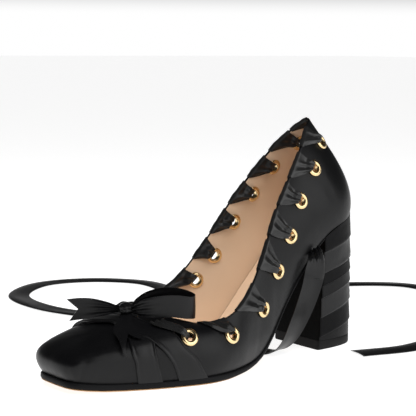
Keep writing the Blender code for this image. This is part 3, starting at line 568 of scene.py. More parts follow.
def build_upper(around=532, lines=58):
    rows = np.arange(around) * ROWS_ROUND / around
    ups = np.linspace(0, 1, lines) ** 0.92
    row_grid, up_grid = np.meshgrid(rows, ups, indexing="ij")
    skin = wall_surface(row_grid, up_grid)
    outward, _, up_way = wall_frame(row_grid, up_grid)
    relief = wall_relief(row_grid, up_grid)[..., None]
    outside, inside = skin + outward * relief, skin - outward * WALL
    pairs = skin + np.roll(skin, -1, 0)
    cell_middle = pairs[:, :-1] / 4 + pairs[:, 1:] / 4
    cut = np.zeros((around, lines - 1), bool)
    for _, row, up in eyelet_places():
        centre = wall_surface(row, up)
        near = np.linalg.norm(skin - centre, axis=-1)
        hole = np.linalg.norm(cell_middle - centre, axis=-1) < EYELET_HOLE - HOLE_INSET
        cut |= hole
        rim = (cell_corners(~hole, lines) & cell_corners(hole, lines)
               & (near < EYELET_HOLE + RIM_REACH))
        shift = (skin[rim] - centre) * (EYELET_HOLE / near[rim] - 1)[:, None]
        outside[rim] += shift
        inside[rim] += shift
    half = around * lines
    points = [outside.reshape(-1, 3), inside.reshape(-1, 3)]
    cells = [face for face in grid_faces(around, lines, closed_rows=True)
             if not cut[face[0] // lines, face[0] % lines]]
    faces = cells + [[half + k for k in face[::-1]] for face in cells]
    finish = [0] * len(cells) + [1] * len(cells)
    edges = {(a, b) for face in cells for a, b in zip(face, face[1:] + face[:1])}
    open_edges = [(a, b) for a, b in edges if (b, a) not in edges]
    for a, b in open_edges:
        if a % lines == lines - 1 and b % lines == lines - 1:
            continue
        faces.append([b, a, half + a, half + b])
        finish.append(0)
    top, low = outside[:, -1], inside[:, -1]
    middle, arm = (top + low) / 2, (top - low) / 2
    turns = np.linspace(0, pi, 7)[1:-1]
    rounds = [middle + arm * np.cos(t) + up_way[:, -1] * (WALL / 2) * np.sin(t) for t in turns]
    start = 2 * half
    points += rounds
    loops = [[i * lines + lines - 1 for i in range(around)]]
    loops += [[start + k * around + i for i in range(around)] for k in range(len(rounds))]
    loops += [[half + i * lines + lines - 1 for i in range(around)]]
    for lower, upper in zip(loops, loops[1:]):
        for i in range(around):
            k = (i + 1) % around
            faces.append([lower[i], lower[k], upper[k], upper[i]])
            finish.append(0)
    return add_piece("upper_satin", np.vstack(points), faces, [shoe_satin, lining_leather],
                     ["upper"], finish)


upper_piece = build_upper()
print("upper:", len(upper_piece.data.polygons), "faces")

# %% [markdown]
# ## Sole, covered edge and insole
# The outsole is a thin board cut to the shoe's outline. Between it and the upper sits a covered
# edge, a strip wrapped in cloth that stands a millimetre out. Each of them is a row of slices
# from toe to heel: flat above and below, with a rounded side that follows the outline's own
# outward direction. The insole is the same, but inside the wall and a little crowned.

# %% Outline of the sole
def side_frame(side):
    """Foot line of one side and its outward direction in plan."""
    foot = wall_surface(FOOT_ROWS * side, 0 * FOOT_ROWS)
    along = np.gradient(foot, axis=0) * side
    outward = unit(np.stack([along[:, 1], -along[:, 0]], 1))
    return foot, outward


def build_layer(name, low, high, stand_out, last_y, material, replaced, round_mm,
                crown=0.0, stations=150, across=18):
    """A flat layer with rounded sides, in slices from the toe to last_y."""
    sides = {}
    for side in (1, -1):
        foot, outward = side_frame(side)
        keep = foot[:, 1] <= last_y
        pick = np.linspace(0, keep.sum() - 1, stations)
        index = np.arange(len(foot))
        line = np.stack([np.interp(pick, index, foot[:, k]) for k in (0, 1)], 1)
        way = unit(np.stack([np.interp(pick, index, outward[:, k]) for k in (0, 1)], 1))
        sides[side] = (line, way)
    turn = np.linspace(pi / 2, -pi / 2, 7)
    profile = [(np.cos(t) - 1, np.sin(t)) for t in turn]
    slices = []
    for k in range(stations):
        edge_points = {}
        for side in (1, -1):
            line, way = sides[side][0][k], sides[side][1][k]
            y = line[1]
            bottom, top = low(y), high(y)
            radius = min(round_mm, (top - bottom) / 2 * 0.98)
            reach = stand_out(y) if callable(stand_out) else stand_out
            loop = []
            for out, rise in profile:
                plan = line + way * (reach + out * radius)
                height = (top - radius if rise > 0 else bottom + radius) + rise * radius
                loop.append([plan[0], plan[1], height])
            edge_points[side] = loop
        lateral, medial = np.array(edge_points[1]), np.array(edge_points[-1])
        part = np.linspace(0, 1, across)[1:-1, None]
        bulge = np.array([[0, 0, crown]]) * np.sin(pi * part) ** 0.7
        ring = list(lateral) + list(lateral[-1] * (1 - part) + medial[-1] * part)
        ring += list(medial[::-1]) + list(medial[0] * (1 - part) + lateral[0] * part + bulge)
        slices.append(ring)
    count = len(slices[0])
    faces = grid_faces(stations, count, closed_columns=True) + end_caps(stations, count)
    return add_piece(name, np.vstack(slices), faces, [material], replaced)


# %% Build the sole and the insole
def foot_height(y):
    """Height of the wall's lower edge at y."""
    return float(np.interp(y, FOOT_LINE[:, 1], FOOT_LINE[:, 2]))


BOARD_SEEN = [(-224, 0.6), (-150, 0.6), (-118, 0.3), (4, 0.3)]
BOARD_INSET = [(-224, 0.3), (-145, 0.3), (-120, 1.1), (4, 1.1)]


def outsole_top(y):
    return float(read_curve(UNDERSIDE, y) + read_curve(BOARD_SEEN, y))


def margin(y):
    return float(read_curve(SOLE_MARGIN, y))


sole_end = BREAST_TOP_Y - GAP
build_layer("outsole_board", lambda y: float(read_curve(UNDERSIDE, y)), outsole_top,
            lambda y: margin(y) - float(read_curve(BOARD_INSET, y)), sole_end, outsole_board,
            ["outsole"], 0.4)
build_layer("sole_covered_edge", lambda y: outsole_top(y) + 0.05,
            lambda y: foot_height(y) - 0.05, lambda y: margin(y) + 0.25, sole_end, covered_edge,
            ["sole_edge"], 1.2)
build_layer("insole_sock", lambda y: foot_height(y) + 0.25,
            lambda y: foot_height(y) + 0.25 + INSOLE_THICK, -WALL - 0.55, 2.5 - WALL - 0.7,
            insole_leather, ["insole"], 0.7, crown=0.5)
print("sole ends at the breast, y =", round(sole_end, 1), "mm")

# %% [markdown]
# ## The heel and its winding
# The block is plastic, wound in wide satin ribbon from the seat down. Each turn overlaps the
# one below, so its lower edge stands 0.7 mm proud and shows as a slanting line. The
# outline is a D: flat at the breast, rounded behind. We stack rings of that D, slanted by the
# rise of the winding, and push each turn out the most at its lower edge.

# %% Heel outline
# The last column picks each turn's copy of the satin: 0 painted shade, 1 mid-tone, 2 painted sheen.
HEEL_TURNS = {
    "columns": ("breast_z", "rise", "crinkle", "finish"),
    "lowest": (8.2, 0.23, 0.06, 0), "second": (21.0, 0.26, 0.16, 2), "third": (33.7, 0.25, 0.06, 1),
    "fourth": (41.6, 0.24, 0.08, 0), "fifth": (49.8, 0.23, 0.34, 2), "top": (63.6, 0.24, 0.12, 0),
}


def heel_ring(part, stand_out=0.0, points=176):
    """The D outline at part 0 (seat) to 1 (floor), evenly spaced and softly cornered."""
    breast_y = BREAST_TOP_Y * (1 - part) + BREAST_FOOT_Y * part
    half = HEEL_HALF_TOP * (1 - part) + HEEL_HALF_FOOT * part + stand_out
    depth = HEEL_DEPTH_TOP * (1 - part) + HEEL_DEPTH_FOOT * part + stand_out
    square = 2.0 / (2.4 * (1 - part) + 2.9 * part)
    turn = np.linspace(0, pi, 241)
    x = half * np.sign(np.cos(turn)) * np.abs(np.cos(turn)) ** square
    y = breast_y + depth * np.abs(np.sin(turn)) ** square
    line = np.vstack([np.stack([x, y], 1), [[half, breast_y]]])
    length = lengths_along(line)
    even = np.linspace(0, length[-1], points, endpoint=False)
    ring = np.stack([np.interp(even, length, line[:, k]) for k in (0, 1)], 1)
    for _ in range(2):
        ring = (np.roll(ring, 1, 0) + 2 * ring + np.roll(ring, -1, 0)) / 4
    return ring, breast_y


print("heel is", 2 * HEEL_HALF_TOP, "mm wide at the seat and", 2 * HEEL_HALF_FOOT, "at the floor")


# %% Build the heel
SEAT_TUCK = 0.5                 # mm the last turn is tucked up behind the upper's lower edge
TURN_LIP = 0.75                 # mm a turn's lower edge stands proud of the one below


def build_heel():
    top_z = foot_height(BREAST_TOP_Y) - GAP
    turns = table_rows(HEEL_TURNS)
    rings, finish = [], []
    shares = np.array([0, 0.02, 0.06, 0.13, 0.24, 0.38, 0.55, 0.72, 0.88, 0.97])

    def put(breast_z, rise, stand_out, crinkle, share, seed):
        part = np.clip(1 - breast_z / top_z, 0, 1)
        ring, breast_y = heel_ring(part, stand_out)
        behind = np.clip(ring[:, 1] - breast_y, 0, None)
        height = breast_z + rise * behind
        around = np.arange(len(ring)) / len(ring) * 2 * pi
        wave = ripple(5 * np.cos(around) + share * 6, 5 * np.sin(around) + share * 11, seed)
        off_breast = np.clip(behind / 2.0, 0, 1)
        ring = ring + unit(ring - ring.mean(0)) * (crinkle * wave * off_breast)[:, None]
        rings.append(np.column_stack([ring, height]))

    first_z, first_rise = turns[0][:2]
    for share in shares:
        put(TOP_PIECE_HIGH + 0.15 + (first_z - TOP_PIECE_HIGH - 0.15) * share, first_rise * share,
            0.1 * (1 - share), 0.04, share, 9)
        finish.append(1)
    for k, (breast_z, rise, crinkle, gloss) in enumerate(turns):
        last = k + 1 == len(turns)
        next_z, next_rise = (top_z, 0.0) if last else turns[k + 1][:2]
        for share in shares:
            z = breast_z + (next_z - breast_z) * share
            r = rise if last else rise + (next_rise - rise) * share
            lip = TURN_LIP * (1 - share) ** 1.2 * (0.35 + 0.65 * ease(share / 0.06))
            put(z, r, lip, crinkle * np.sin(pi * share) ** 0.7, share, k)
            # Each turn takes its painted shade, mid-tone or painted sheen copy of the satin.
            finish.append(int(gloss))
            if last:
                behind = rings[-1][:, 1]
                seat = np.array([foot_height(y) - GAP for y in behind])
                seat += SEAT_TUCK * ease((behind + 8) / 12)
                low = breast_z + rise * np.clip(behind - BREAST_TOP_Y, 0, None)
                rings[-1][:, 2] = low + (seat - low) * share / shares[-1]
    count = len(rings[0])
    faces = grid_faces(len(rings), count, closed_columns=True)
    points = np.vstack(rings)
    # Faces flat on the breast take the darker matt copy: painted shade.
    breast = np.interp(points[:, 2], [0, top_z], [BREAST_FOOT_Y, BREAST_TOP_Y])
    flat = points[:, 1] < breast + 0.5
    material_of = [3 if flat[face].all() else finish[face[0] // count] for face in faces]
    faces += end_caps(len(rings), count)
    add_piece("heel_winding", points, faces, [turn_painted_shade, turn_painted_midtone, turn_painted_sheen, breast_painted_shade],
              ["heel_block"], material_of + [1, 1])
    tip, profile = [], ((0, -0.5), (0.25, -0.1), (0.8, 0.05), (3, 0.05), (5.6, 0.05), (5.95, -0.15))
    for height, out in profile:
        ring, _ = heel_ring(1 - height / top_z, out)
        tip.append(np.column_stack([ring, np.full(len(ring), height)]))
    faces = grid_faces(len(tip), count, closed_columns=True) + end_caps(len(tip), count)
    add_piece("heel_tip", np.vstack(tip), faces, [heel_rubber], ["top_piece"])
    return len(turns)


print("turns of ribbon on the heel:", build_heel())

# %% [markdown]
# ## Eyelets
# An eyelet is a short brass tube set through the wall, its ends rolled over into a ring on both
# faces. We draw half of its cross section as a few (radius, height) pairs and sweep it round,
# but each point is placed by walking over the curved wall, so the ring hugs the shoe.

# %% Walk over the wall
def near_wall(row, up, across, upward):
    """The row and up reached by going across and upward in mm from a place."""
    outward, round_way, _ = wall_frame(np.float64(row), np.float64(up))
    steep = np.cross(outward, round_way)
    start, step = wall_surface(row, up), 1e-3
    r, u = row + 0 * across, up + 0 * across
    for _ in range(5):
        here = wall_surface(r, u)
        off_a, off_b = across - (here - start) @ round_way, upward - (here - start) @ steep
        d_row = (wall_surface(r + step, u) - here) / step
        d_up = (wall_surface(r, u + step) - here) / step
        a, b, c, d = d_row @ round_way, d_up @ round_way, d_row @ steep, d_up @ steep
        size = a * d - b * c
        r, u = r + (d * off_a - b * off_b) / size, u + (a * off_b - c * off_a) / size
    return r, u


EYELET_SECTION = {
    "columns": ("radius", "height"),
    "barrel low": (2.6, -2.4), "barrel": (2.6, -0.5), "throat": (2.62, 0.5),
    "roll inner": (2.85, 1.05),
    "roll top": (3.35, 1.38), "roll crown": (3.95, 1.45), "roll outer": (4.7, 1.25),
    "edge": (5.2, 0.85), "rim": (5.4, 0.45), "rim under": (5.25, 0.2), "neck": (4.2, 0.1),
    "neck low": (4.2, -1.8), "inside under": (4.9, -1.85), "inside rim": (5.1, -2.15),
    "inside roll": (4.3, -2.75), "inside lip": (3.2, -2.85),
}


def build_eyelets(around=40):
    corners = table_rows(EYELET_SECTION)
    section = open_spline(np.vstack([corners, corners[:1]]), 2)[:-1]
    turn = np.arange(around) * 2 * pi / around
    for name, row, up in eyelet_places():
        radius, height = section[:, 0][None, :], section[:, 1][None, :]
        across, upward = radius * np.cos(turn)[:, None], radius * np.sin(turn)[:, None]
        r, u = near_wall(row, up, across, upward)
        rings = wall_point(r, u, height + 0 * r)
        faces = grid_faces(around, len(section), closed_rows=True, closed_columns=True)
        add_piece("eyelet_ring_" + name, rings.reshape(-1, 3), faces, [pale_gold],
                  ["eyelet_" + name])
    return len(eyelet_places())


print("eyelets set:", build_eyelets())

# %% [markdown]
# ## The whipped ribbon
# One ribbon runs the whole way round: out of an eyelet on the inside, up and over the collar,
# and down the outside into the next eyelet. It is wide at the collar and pinched to pleats in
# each hole. A turn is a grid: one number runs across the ribbon, the other along it. Where it
# lies is again a row and an up on the wall, and its height off the wall is what carries it.

# %% One turn of the whipping
RIBBON_THICK, PLEATS, NECK_WIDE, EDGE_HALF_WIDE = 0.4, 3, 4.8, 10.5
OFF_WALL, OVER_RING = 0.6, 1.45     # mm a leg stands off the wall, and more above a ring


def leg(eyelet, base, outside, seed, steps=26, across=25):
    """Places and heights of a leg between a hole and the collar, from hole to collar."""
    row_e, up_e = eyelet
    row_front, row_rear = base
    s, t = np.meshgrid(np.linspace(-0.5, 0.5, across), np.linspace(0, 1, steps), indexing="xy")
    per_row = np.linalg.norm(wall_surface(row_e + 0.5, up_e) - wall_surface(row_e - 0.5, up_e))
    middle = row_e + ((row_front + row_rear) / 2 - row_e) * t
    wide = NECK_WIDE / per_row * (1 - t) + (row_rear - row_front) * t
    row, up = middle + s * wide, up_e + (1 - up_e) * t
    away = np.linalg.norm(wall_surface(row, up) - wall_surface(row_e, up_e), axis=-1)
    middle_away = np.linalg.norm(wall_surface(middle, up) - wall_surface(row_e, up_e), axis=-1)
    toe_side = s if row_e < ROWS_ROUND / 2 else -s
    tall = 1.0 if outside else 0.55
    bulge = np.sin(pi * np.clip(t * 0.96, 0, 1)) ** 0.7
    near_fold = (toe_side + 0.22 + 0.04 * np.sin(seed)) / 0.15
    far_fold = (toe_side - 0.2 + 0.07 * np.cos(2 * seed)) / 0.09
    folds = bulge * tall * (1.9 * np.exp(-near_fold ** 2) + 0.9 * np.exp(-far_fold ** 2))
    gathered = 0.5 + 0.5 * np.sin(2 * pi * PLEATS * s + seed)
    pleats = 0.8 * (1 - ease((middle_away - 3) / 9)) * gathered
    soft = 0.2 * bulge * (1 + ripple(6 * s, 3 * t, seed))
    height = OFF_WALL + OVER_RING * ease((9.0 - away) / 3.6) + folds + pleats + soft
    plunge = ease((2.9 - middle_away) / 2.3)
    height = height * (1 - plunge)
    if outside:
        return row, up, height - (WALL / 2) * plunge
    return row, up, -WALL * (1 - plunge) - height - (WALL / 2) * plunge


def whip_turn(start, finish, base, seed):
    """Front and behind grids of one turn: inside leg, over the collar, outside leg."""
    grids = {"front": [], "behind": []}
    parts = []
    if start is not None:
        parts.append(leg(start, base, False, seed))
    over = np.linspace(0, pi, 9)[1:-1]
    if finish is not None:
        outside = leg(finish, base, True, seed + 0.5)
    for side, bump in (("front", RIBBON_THICK / 2), ("behind", -RIBBON_THICK / 2)):
        rows = []
        if start is not None:
            row, up, height = parts[0]
            rows += list(wall_point(row, up, height - bump))
        if start is not None and finish is not None:
            row, height_in, height_out = parts[0][0][-1], parts[0][2][-1], outside[2][-1]
            skin = wall_surface(row, 1.0 + 0 * row)
            outward, _, up_way = wall_frame(row, 1.0 + 0 * row)
            middle, arm = (height_in + height_out) / 2, (height_out - height_in) / 2
            for turn in over:
                reach, rise = arm + bump, 0.75 * arm + bump + 0.2
                rows.append(skin + outward * (middle - reach * np.cos(turn))[:, None]
                            + up_way * (rise * np.sin(turn))[:, None])
        if finish is not None:
            row, up, height = outside
            rows += list(wall_point(row, up, height + bump)[::-1])
        grids[side] = np.array(rows)
    return grids["front"], grids["behind"]


LEAD = {
    "columns": ("row", "up", "lift", "wide"),
    "under the loop": (3.9, 0.86, 3.3, 9.0), "over the band": (4.7, 0.79, 2.9, 8.5),
    "beside it": (5.45, 0.72, 2.5, 7.0), "at the rim": (6.0, 0.655, 2.3, 5.6),
    "in the hole": (6.41, 0.605, -0.85, 4.4),
}


def lead_in(eyelet, steps=10, across=21):
    """The ribbon's first stretch, from under the bow's loop down into eyelet 1."""
    rows = open_spline(table_rows(LEAD), steps)
    s = np.linspace(-0.5, 0.5, across)
    outward, round_way, up_way = wall_frame(rows[:, 0], rows[:, 1])
    line = wall_point(rows[:, 0], rows[:, 1], rows[:, 2])
    travel = unit(np.gradient(wall_surface(rows[:, 0], rows[:, 1]), axis=0))
    wide = unit(np.cross(outward, travel))
    along = np.linspace(0, 1, len(rows))[:, None]
    folds = 0.55 * np.sin(2 * pi * 2.5 * s + 1.5 + 1.5 * along) * (1 - 0.5 * along)
    grid = line[:, None] + wide[:, None] * (s * rows[:, 3:4])[..., None]
    grid = grid + outward[:, None] * folds[..., None]
    thin = outward[:, None] * RIBBON_THICK / 2
    return grid + thin, grid - thin


print("pleats in each hole:", PLEATS)


# %% Run the ribbon round the collar
def build_whipping():
    places = [(row, up) for _, row, up in eyelet_places()]
    groups = {"lateral": [], "medial": []}
    for k in range(1, len(places)):
        before, after = places[k - 1], places[k]
        pitch = after[0] - before[0]
        middle = before[0] + 0.52 * pitch
        edge_mm = np.linalg.norm(wall_surface(middle + 0.5, 1) - wall_surface(middle - 0.5, 1))
        half = min(0.40 * pitch, EDGE_HALF_WIDE / edge_mm)
        base = (middle - half, middle + half) if k != 8 else (19.15, 20.15)
        side = "lateral" if k < 8 else "medial"
        groups[side].append(whip_turn(before, after, base, k))
    first, last = places[0], places[-1]
    groups["medial"].append(whip_turn(last, None, (last[0] + 0.5, last[0] + 1.6), 17))
    groups["lateral"].append(lead_in(first))
    for side, turns in groups.items():
        points, faces = join_slabs(turns)
        # The whipping takes the lighter copy of the satin: painted sheen.
        add_piece("whipping_" + side, points, faces, [lacing_painted_sheen], ["lacing_" + side])
    return {side: len(turns) for side, turns in groups.items()}


print("turns over the collar:", build_whipping())

# %% [markdown]
# ## Bands over the forefoot
# Two ribbons cross the forefoot before the bow and are caught in the sole. A band is a strip
# between two edge lines on the wall: the row and up of its front edge and of its rear edge at
# a few stations. Its edges lie close to the shoe and its middle keeps a few long soft folds.

# %% Bands
BAND_FRONT = {
    "columns": ("front_row", "front_up", "rear_row", "rear_up", "lift"),
    "lateral sole": (5.06, 0.0, 5.86, 0.0, 0.35), "lateral low": (4.92, 0.145, 5.68, 0.16, 0.4),
    "lateral side": (4.66, 0.301, 5.42, 0.33, 0.45), "lateral top": (3.84, 0.55, 4.87, 0.566, 0.5),
    "lateral crown": (2.6, 0.72, 3.9, 0.74, 0.5), "crown": (0.0, 0.865, 0.5, 0.955, 0.5),
    "medial crown": (-3.0, 0.84, -3.6, 0.94, 0.5), "medial top": (-4.9, 0.62, -5.6, 0.73, 0.5),
    "medial side": (-5.7, 0.36, -6.5, 0.42, 0.45), "medial sole": (-6.2, 0.0, -7.2, 0.0, 0.35),
}
BAND_REAR = {
    "columns": ("front_row", "front_up", "rear_row", "rear_up", "lift"),
    "lateral sole": (6.41, 0.0, 7.6, 0.0, 0.35), "lateral low": (6.24, 0.134, 7.25, 0.17, 0.4),
    "lateral side": (6.01, 0.252, 6.95, 0.31, 0.55), "lateral high": (5.47, 0.416, 6.4, 0.44, 0.9),
    "lateral top": (4.43, 0.613, 5.75, 0.62, 1.15), "lateral crown": (3.1, 0.706, 4.7, 0.79, 1.2),
    "crown": (0.0, 0.83, 0.8, 0.93, 1.2), "medial crown": (-2.9, 0.7, -4.0, 0.83, 1.3),
    "medial top": (-4.2, 0.5, -5.0, 0.58, 1.3), "medial side": (-4.5, 0.28, -5.3, 0.33, 0.7),
    "medial sole": (-4.7, 0.0, -5.55, 0.0, 0.35),
}


def build_band(name, table, seed, replaced, steps=12, across=13):
    rows = open_spline(table_rows(table), steps)
    near_edge = np.array([0, 0.008, 0.018, 0.03, 0.045, 0.062, 0.08, 0.1, 0.125, 0.16])
    part = np.concatenate([near_edge, np.linspace(0.2, 0.8, across), 1 - near_edge[::-1]])
    row = rows[:, 0:1] * (1 - part) + rows[:, 2:3] * part
    up = rows[:, 1:2] * (1 - part) + rows[:, 3:4] * part
    along = np.arange(len(rows))[:, None] / steps
    wide = np.linalg.norm(wall_surface(rows[:, 0], rows[:, 1])
                          - wall_surface(rows[:, 2], rows[:, 3]), axis=1)[:, None]
    from_edge = np.minimum(part, 1 - part) * wide
    hem = (0.16 * np.exp(-((from_edge - 0.7) / 0.4) ** 2)
           - 0.2 * np.exp(-((from_edge - 1.9) / 0.4) ** 2)
           - 0.3 * np.exp(-(from_edge / 0.25) ** 2))
    folds = 0.2 * np.sin(pi * part) * (1 + ripple(5 * part + 0 * along, 0.8 * along, seed))
    lift = rows[:, 4:5] + folds + hem * np.clip(along, 0, 1) + 0.25 + wall_relief(row, up) * 0.8
    front, behind = wall_point(row, up, lift + RIBBON_THICK), wall_point(row, up, lift)
    points, faces = cloth_slab(front, behind)
    return add_piece(name, points, faces, [ribbon_satin], replaced)


build_band("forefoot_band_front", BAND_FRONT, 3, ["band_front"])
build_band("forefoot_band_rear", BAND_REAR, 5, ["band_rear"])
print("bands laid: 2")

# %% [markdown]
# ## The bow
# The whipping's two ends are tied on the vamp into a bow with one loop and two tails. A ribbon
# in the air is a strip swept along a line. At each point the table says where the line is,
# which way the ribbon's width points and how wide it has become: narrow at the knot, where its
# cloth gathers in pleats, and full width further out. A tail ends in a cut notch.

# %% Ribbons in the air
BOW_LOOP = {
    "columns": ("x", "y", "z", "wide_x", "wide_y", "wide_z", "wide"),
    0: (1.8, -172.2, 40.4, 0.1, 0, 1, 3.5), 1: (5.6, -170.8, 40.6, 0.1, 0, 1, 4.5),
    2: (9, -169.6, 41.4, 0.1, 0, 1, 7.5), 3: (14, -168, 42.6, 0, 0, 1, 10.5),
    4: (20, -162.5, 43.7, 0, 0, 1, 12.5), 5: (24.5, -154.5, 43.8, 0, 0, 1, 13),
    6: (27.2, -147, 42.5, 0, 0, 1, 13), 7: (26.2, -141.5, 42, 0, 0, 1, 13),
    8: (22, -139.5, 42.5, 0, 0, 1, 13), 9: (16.5, -143.5, 45.1, 0, 0, 1, 13),
    10: (10.5, -151, 46.6, 0, 0, 1, 12), 11: (5.5, -159, 45.8, 0, 0, 1, 9.5),
    12: (3.0, -165.0, 43.6, 0, 0, 1, 6.5), 13: (2.4, -167.5, 42.1, 0, 0, 1, 4.5),
    14: (1.4, -170.3, 41.4, 0, 0, 1, 3.2),
}
BOW_TAIL_MEDIAL = {
    "columns": ("x", "y", "z", "wide_x", "wide_y", "wide_z", "wide"),
    0: (-0.6, -174.0, 40.5, 0.2, 0.2, 1, 3.5), 1: (-2.9, -176.6, 40.6, 0.2, 0.2, 1, 4.5),
    2: (-6.5, -181, 40.8, 0.2, 0.2, 1, 8), 3: (-11.5, -187.5, 40.9, 0.1, 0.1, 1, 11.5),
    4: (-15.8, -193.2, 40.5, 0, 0, 1, 12.8), 5: (-20, -199.2, 39.7, 0, 0, 1, 13),
}
BOW_TAIL_FRONT = {
    "columns": ("front_row", "front_up", "rear_row", "rear_up", "lift"),
    "in the knot": (-0.4, 0.9, 0.1, 0.925, 4.9), "out of it": (-0.1, 0.885, 0.55, 0.92, 4.2),
    "pleats": (0.35, 0.862, 1.1, 0.905, 3.6), "upper": (0.96, 0.821, 1.87, 0.87, 3.0),
    "middle": (3.01, 0.591, 3.36, 0.738, 2.6), "tip": (4.24, 0.351, 4.32, 0.582, 2.3),
}
KNOT_CENTRE, KNOT_HALF = (0.8, -172.4, 40.8), (4.7, 4.6, 3.7)
NOTCH = 6.0


def sweep_ribbon(table, seed, notch=0.0, steps=14, across=17, gather=0.9, full=13.0):
    """Front and behind grids of a ribbon swept along a table's line."""
    rows = open_spline(table_rows(table), steps)
    line, ways, widths = rows[:, :3], unit(rows[:, 3:6]), rows[:, 6]
    length = lengths_along(line)
    s = np.linspace(-0.5, 0.5, across)
    reach = length[-1] - notch * (1 - np.abs(2 * s))
    at = np.linspace(0, 1, len(line))[:, None] * reach
    read = lambda values: np.stack([np.interp(at, length, values[:, k]) for k in range(3)], -1)
    travel = unit(read(np.gradient(line, length, axis=0)))
    wide = read(ways)
    wide = unit(wide - np.sum(wide * travel, -1, keepdims=True) * travel)
    flat = np.cross(travel, wide)
    width = np.interp(at, length, widths)
    tight = np.clip(1 - width / full, 0, 1)
    folds = gather * tight * np.sin(2 * pi * PLEATS * s + seed) * (width / full + 0.25)
    folds = folds + 0.35 * (width / full) * ripple(2.2 * s + 0 * at, at / 11, seed)
    centre = read(line) + wide * (s * width)[..., None] + flat * folds[..., None]
    thin = flat * RIBBON_THICK / 2
    return centre + thin, centre - thin


def front_tail():
    """The tail that lies on the vamp and its bands, placed by row and up."""
    rows = open_spline(table_rows(BOW_TAIL_FRONT), 12)
    s = np.linspace(0, 1, 17)
    share = np.linspace(0, 1, len(rows))[:, None] * (1 - 0.2 * (1 - np.abs(2 * s - 1)))
    place = share * (len(rows) - 1)
    read = lambda k: np.interp(place, np.arange(len(rows)), rows[:, k])
    row, up = read(0) * (1 - s) + read(2) * s, read(1) * (1 - s) + read(3) * s
    tight = np.clip(1 - share * 2.5, 0, 1)
    folds = (0.5 * tight * np.sin(2 * pi * PLEATS * s) + 0.3 * np.sin(pi * s)
             + 0.25 * ripple(4 * s, 3 * share, 7))
    lift = read(4) + folds
    return wall_point(row, up, lift + RIBBON_THICK), wall_point(row, up, lift)


def build_bow(stacks=20, around=40):
    points, faces = join_slabs([sweep_ribbon(BOW_LOOP, 1.0),
                                sweep_ribbon(BOW_TAIL_MEDIAL, 2.0, notch=NOTCH), front_tail()])
    tilt = np.linspace(-pi / 2, pi / 2, stacks + 2)[1:-1, None]
    turn = np.arange(around)[None, :] * 2 * pi / around
    crease = (1 + 0.07 * np.sin(turn * 7 + 2.5 * tilt) * np.cos(tilt)
              - 0.12 * np.exp(-(tilt / 0.25) ** 2))
    knot = np.stack([np.cos(tilt) * np.cos(turn) * crease, np.cos(tilt) * np.sin(turn) * crease,
                     np.sin(tilt) + 0 * turn], -1) * KNOT_HALF + KNOT_CENTRE
    start = len(points)
    faces += grid_faces(stacks, around, closed_columns=True, start=start)
    faces += end_caps(stacks, around, start)
    return add_piece("vamp_bow", np.vstack([points, knot.reshape(-1, 3)]), faces,
                     [ribbon_satin], ["bow"])


print("bow faces:", len(build_bow().data.polygons))

# %% [markdown]
# ## The ankle ties
# Two long ribbons leave the waist seam ahead of the heel. The shoe stands empty, so they drop
# to the floor and lie there in loose curves. Each is a flat strip 16 mm wide along a line of
# given points.

# %% Ties
TIE_WIDE, TIE_REST = 16.0, 0.35
TIE_LATERAL = {
    "columns": ("x", "y", "z", "wide_x", "wide_y", "wide_z"),
    0: (23.8, -45, 66.6, 0, 0.75, 0.66), 1: (26.2, -45.3, 65, 0, 0.75, 0.66),
    2: (28.4, -46.5, 58.5, 0, 0.83, 0.5),
    3: (28.5, -50, 44, 0.08, 0.95, 0.25), 4: (24.5, -55.5, 24, 0, 0.98, 0.1),
    5: (18, -61, 7, -0.2, 0.97, 0), 6: (7, -66, 0.5, -0.28, 0.96, 0),
    7: (-16, -71, 0.9, -0.11, 0.99, 0), 8: (-48, -72, 0.6, 0.01, 1, 0),
    9: (-92, -70, 1.1, -0.18, 0.98, 0), 10: (-138, -88, 0.7, -0.36, 0.93, 0),
    11: (-190, -108, 1.2, -0.11, 0.99, 0), 12: (-244, -100, 0.6, 0.48, 0.88, 0),
    13: (-274, -62, 1, 0.96, 0.28, 0), 14: (-268, -18, 0.5, 0.86, -0.5, 0),
    15: (-232, 10, 0.9, 0.27, -0.96, 0), 16: (-184, 6, 0.6, -0.16, -0.99, 0),
    17: (-144, -4, 1.1, -0.4, -0.92, 0), 18: (-110, -26, 0.7, -0.54, -0.84, 0),
}
TIE_MEDIAL = {
    "columns": ("x", "y", "z", "wide_x", "wide_y", "wide_z"),
    0: (-22.0, -45, 66.6, 0, 0.75, 0.66), 1: (-24.6, -45.3, 65, 0, 0.75, 0.66),
    2: (-27.6, -45.5, 58, 0, 0.83, 0.55),
    3: (-33, -45, 42, 0.05, 0.95, 0.3), 4: (-37, -42, 22, 0.2, 0.95, 0.1),
    5: (-42, -35, 7, 0.5, 0.85, 0), 6: (-50, -20, 0.6, 0.89, 0.45, 0),
    7: (-66, 12, 1, 0.84, 0.54, 0), 8: (-94, 48, 0.5, 0.76, 0.65, 0),
    9: (-128, 84, 1.1, 0.9, 0.44, 0), 10: (-134, 130, 0.7, 0.95, -0.32, 0),
    11: (-98, 173, 1.2, 0.44, -0.9, 0), 12: (-50, 171, 0.6, -0.4, -0.92, 0),
    13: (-8, 134, 1, -0.7, -0.71, 0), 14: (24, 98, 0.5, -0.82, -0.58, 0),
    15: (46, 58, 0.9, -0.94, -0.33, 0), 16: (53, 16, 0.6, -1, 0.02, 0),
    17: (44, -24, 0.8, -0.98, 0.22, 0),
}


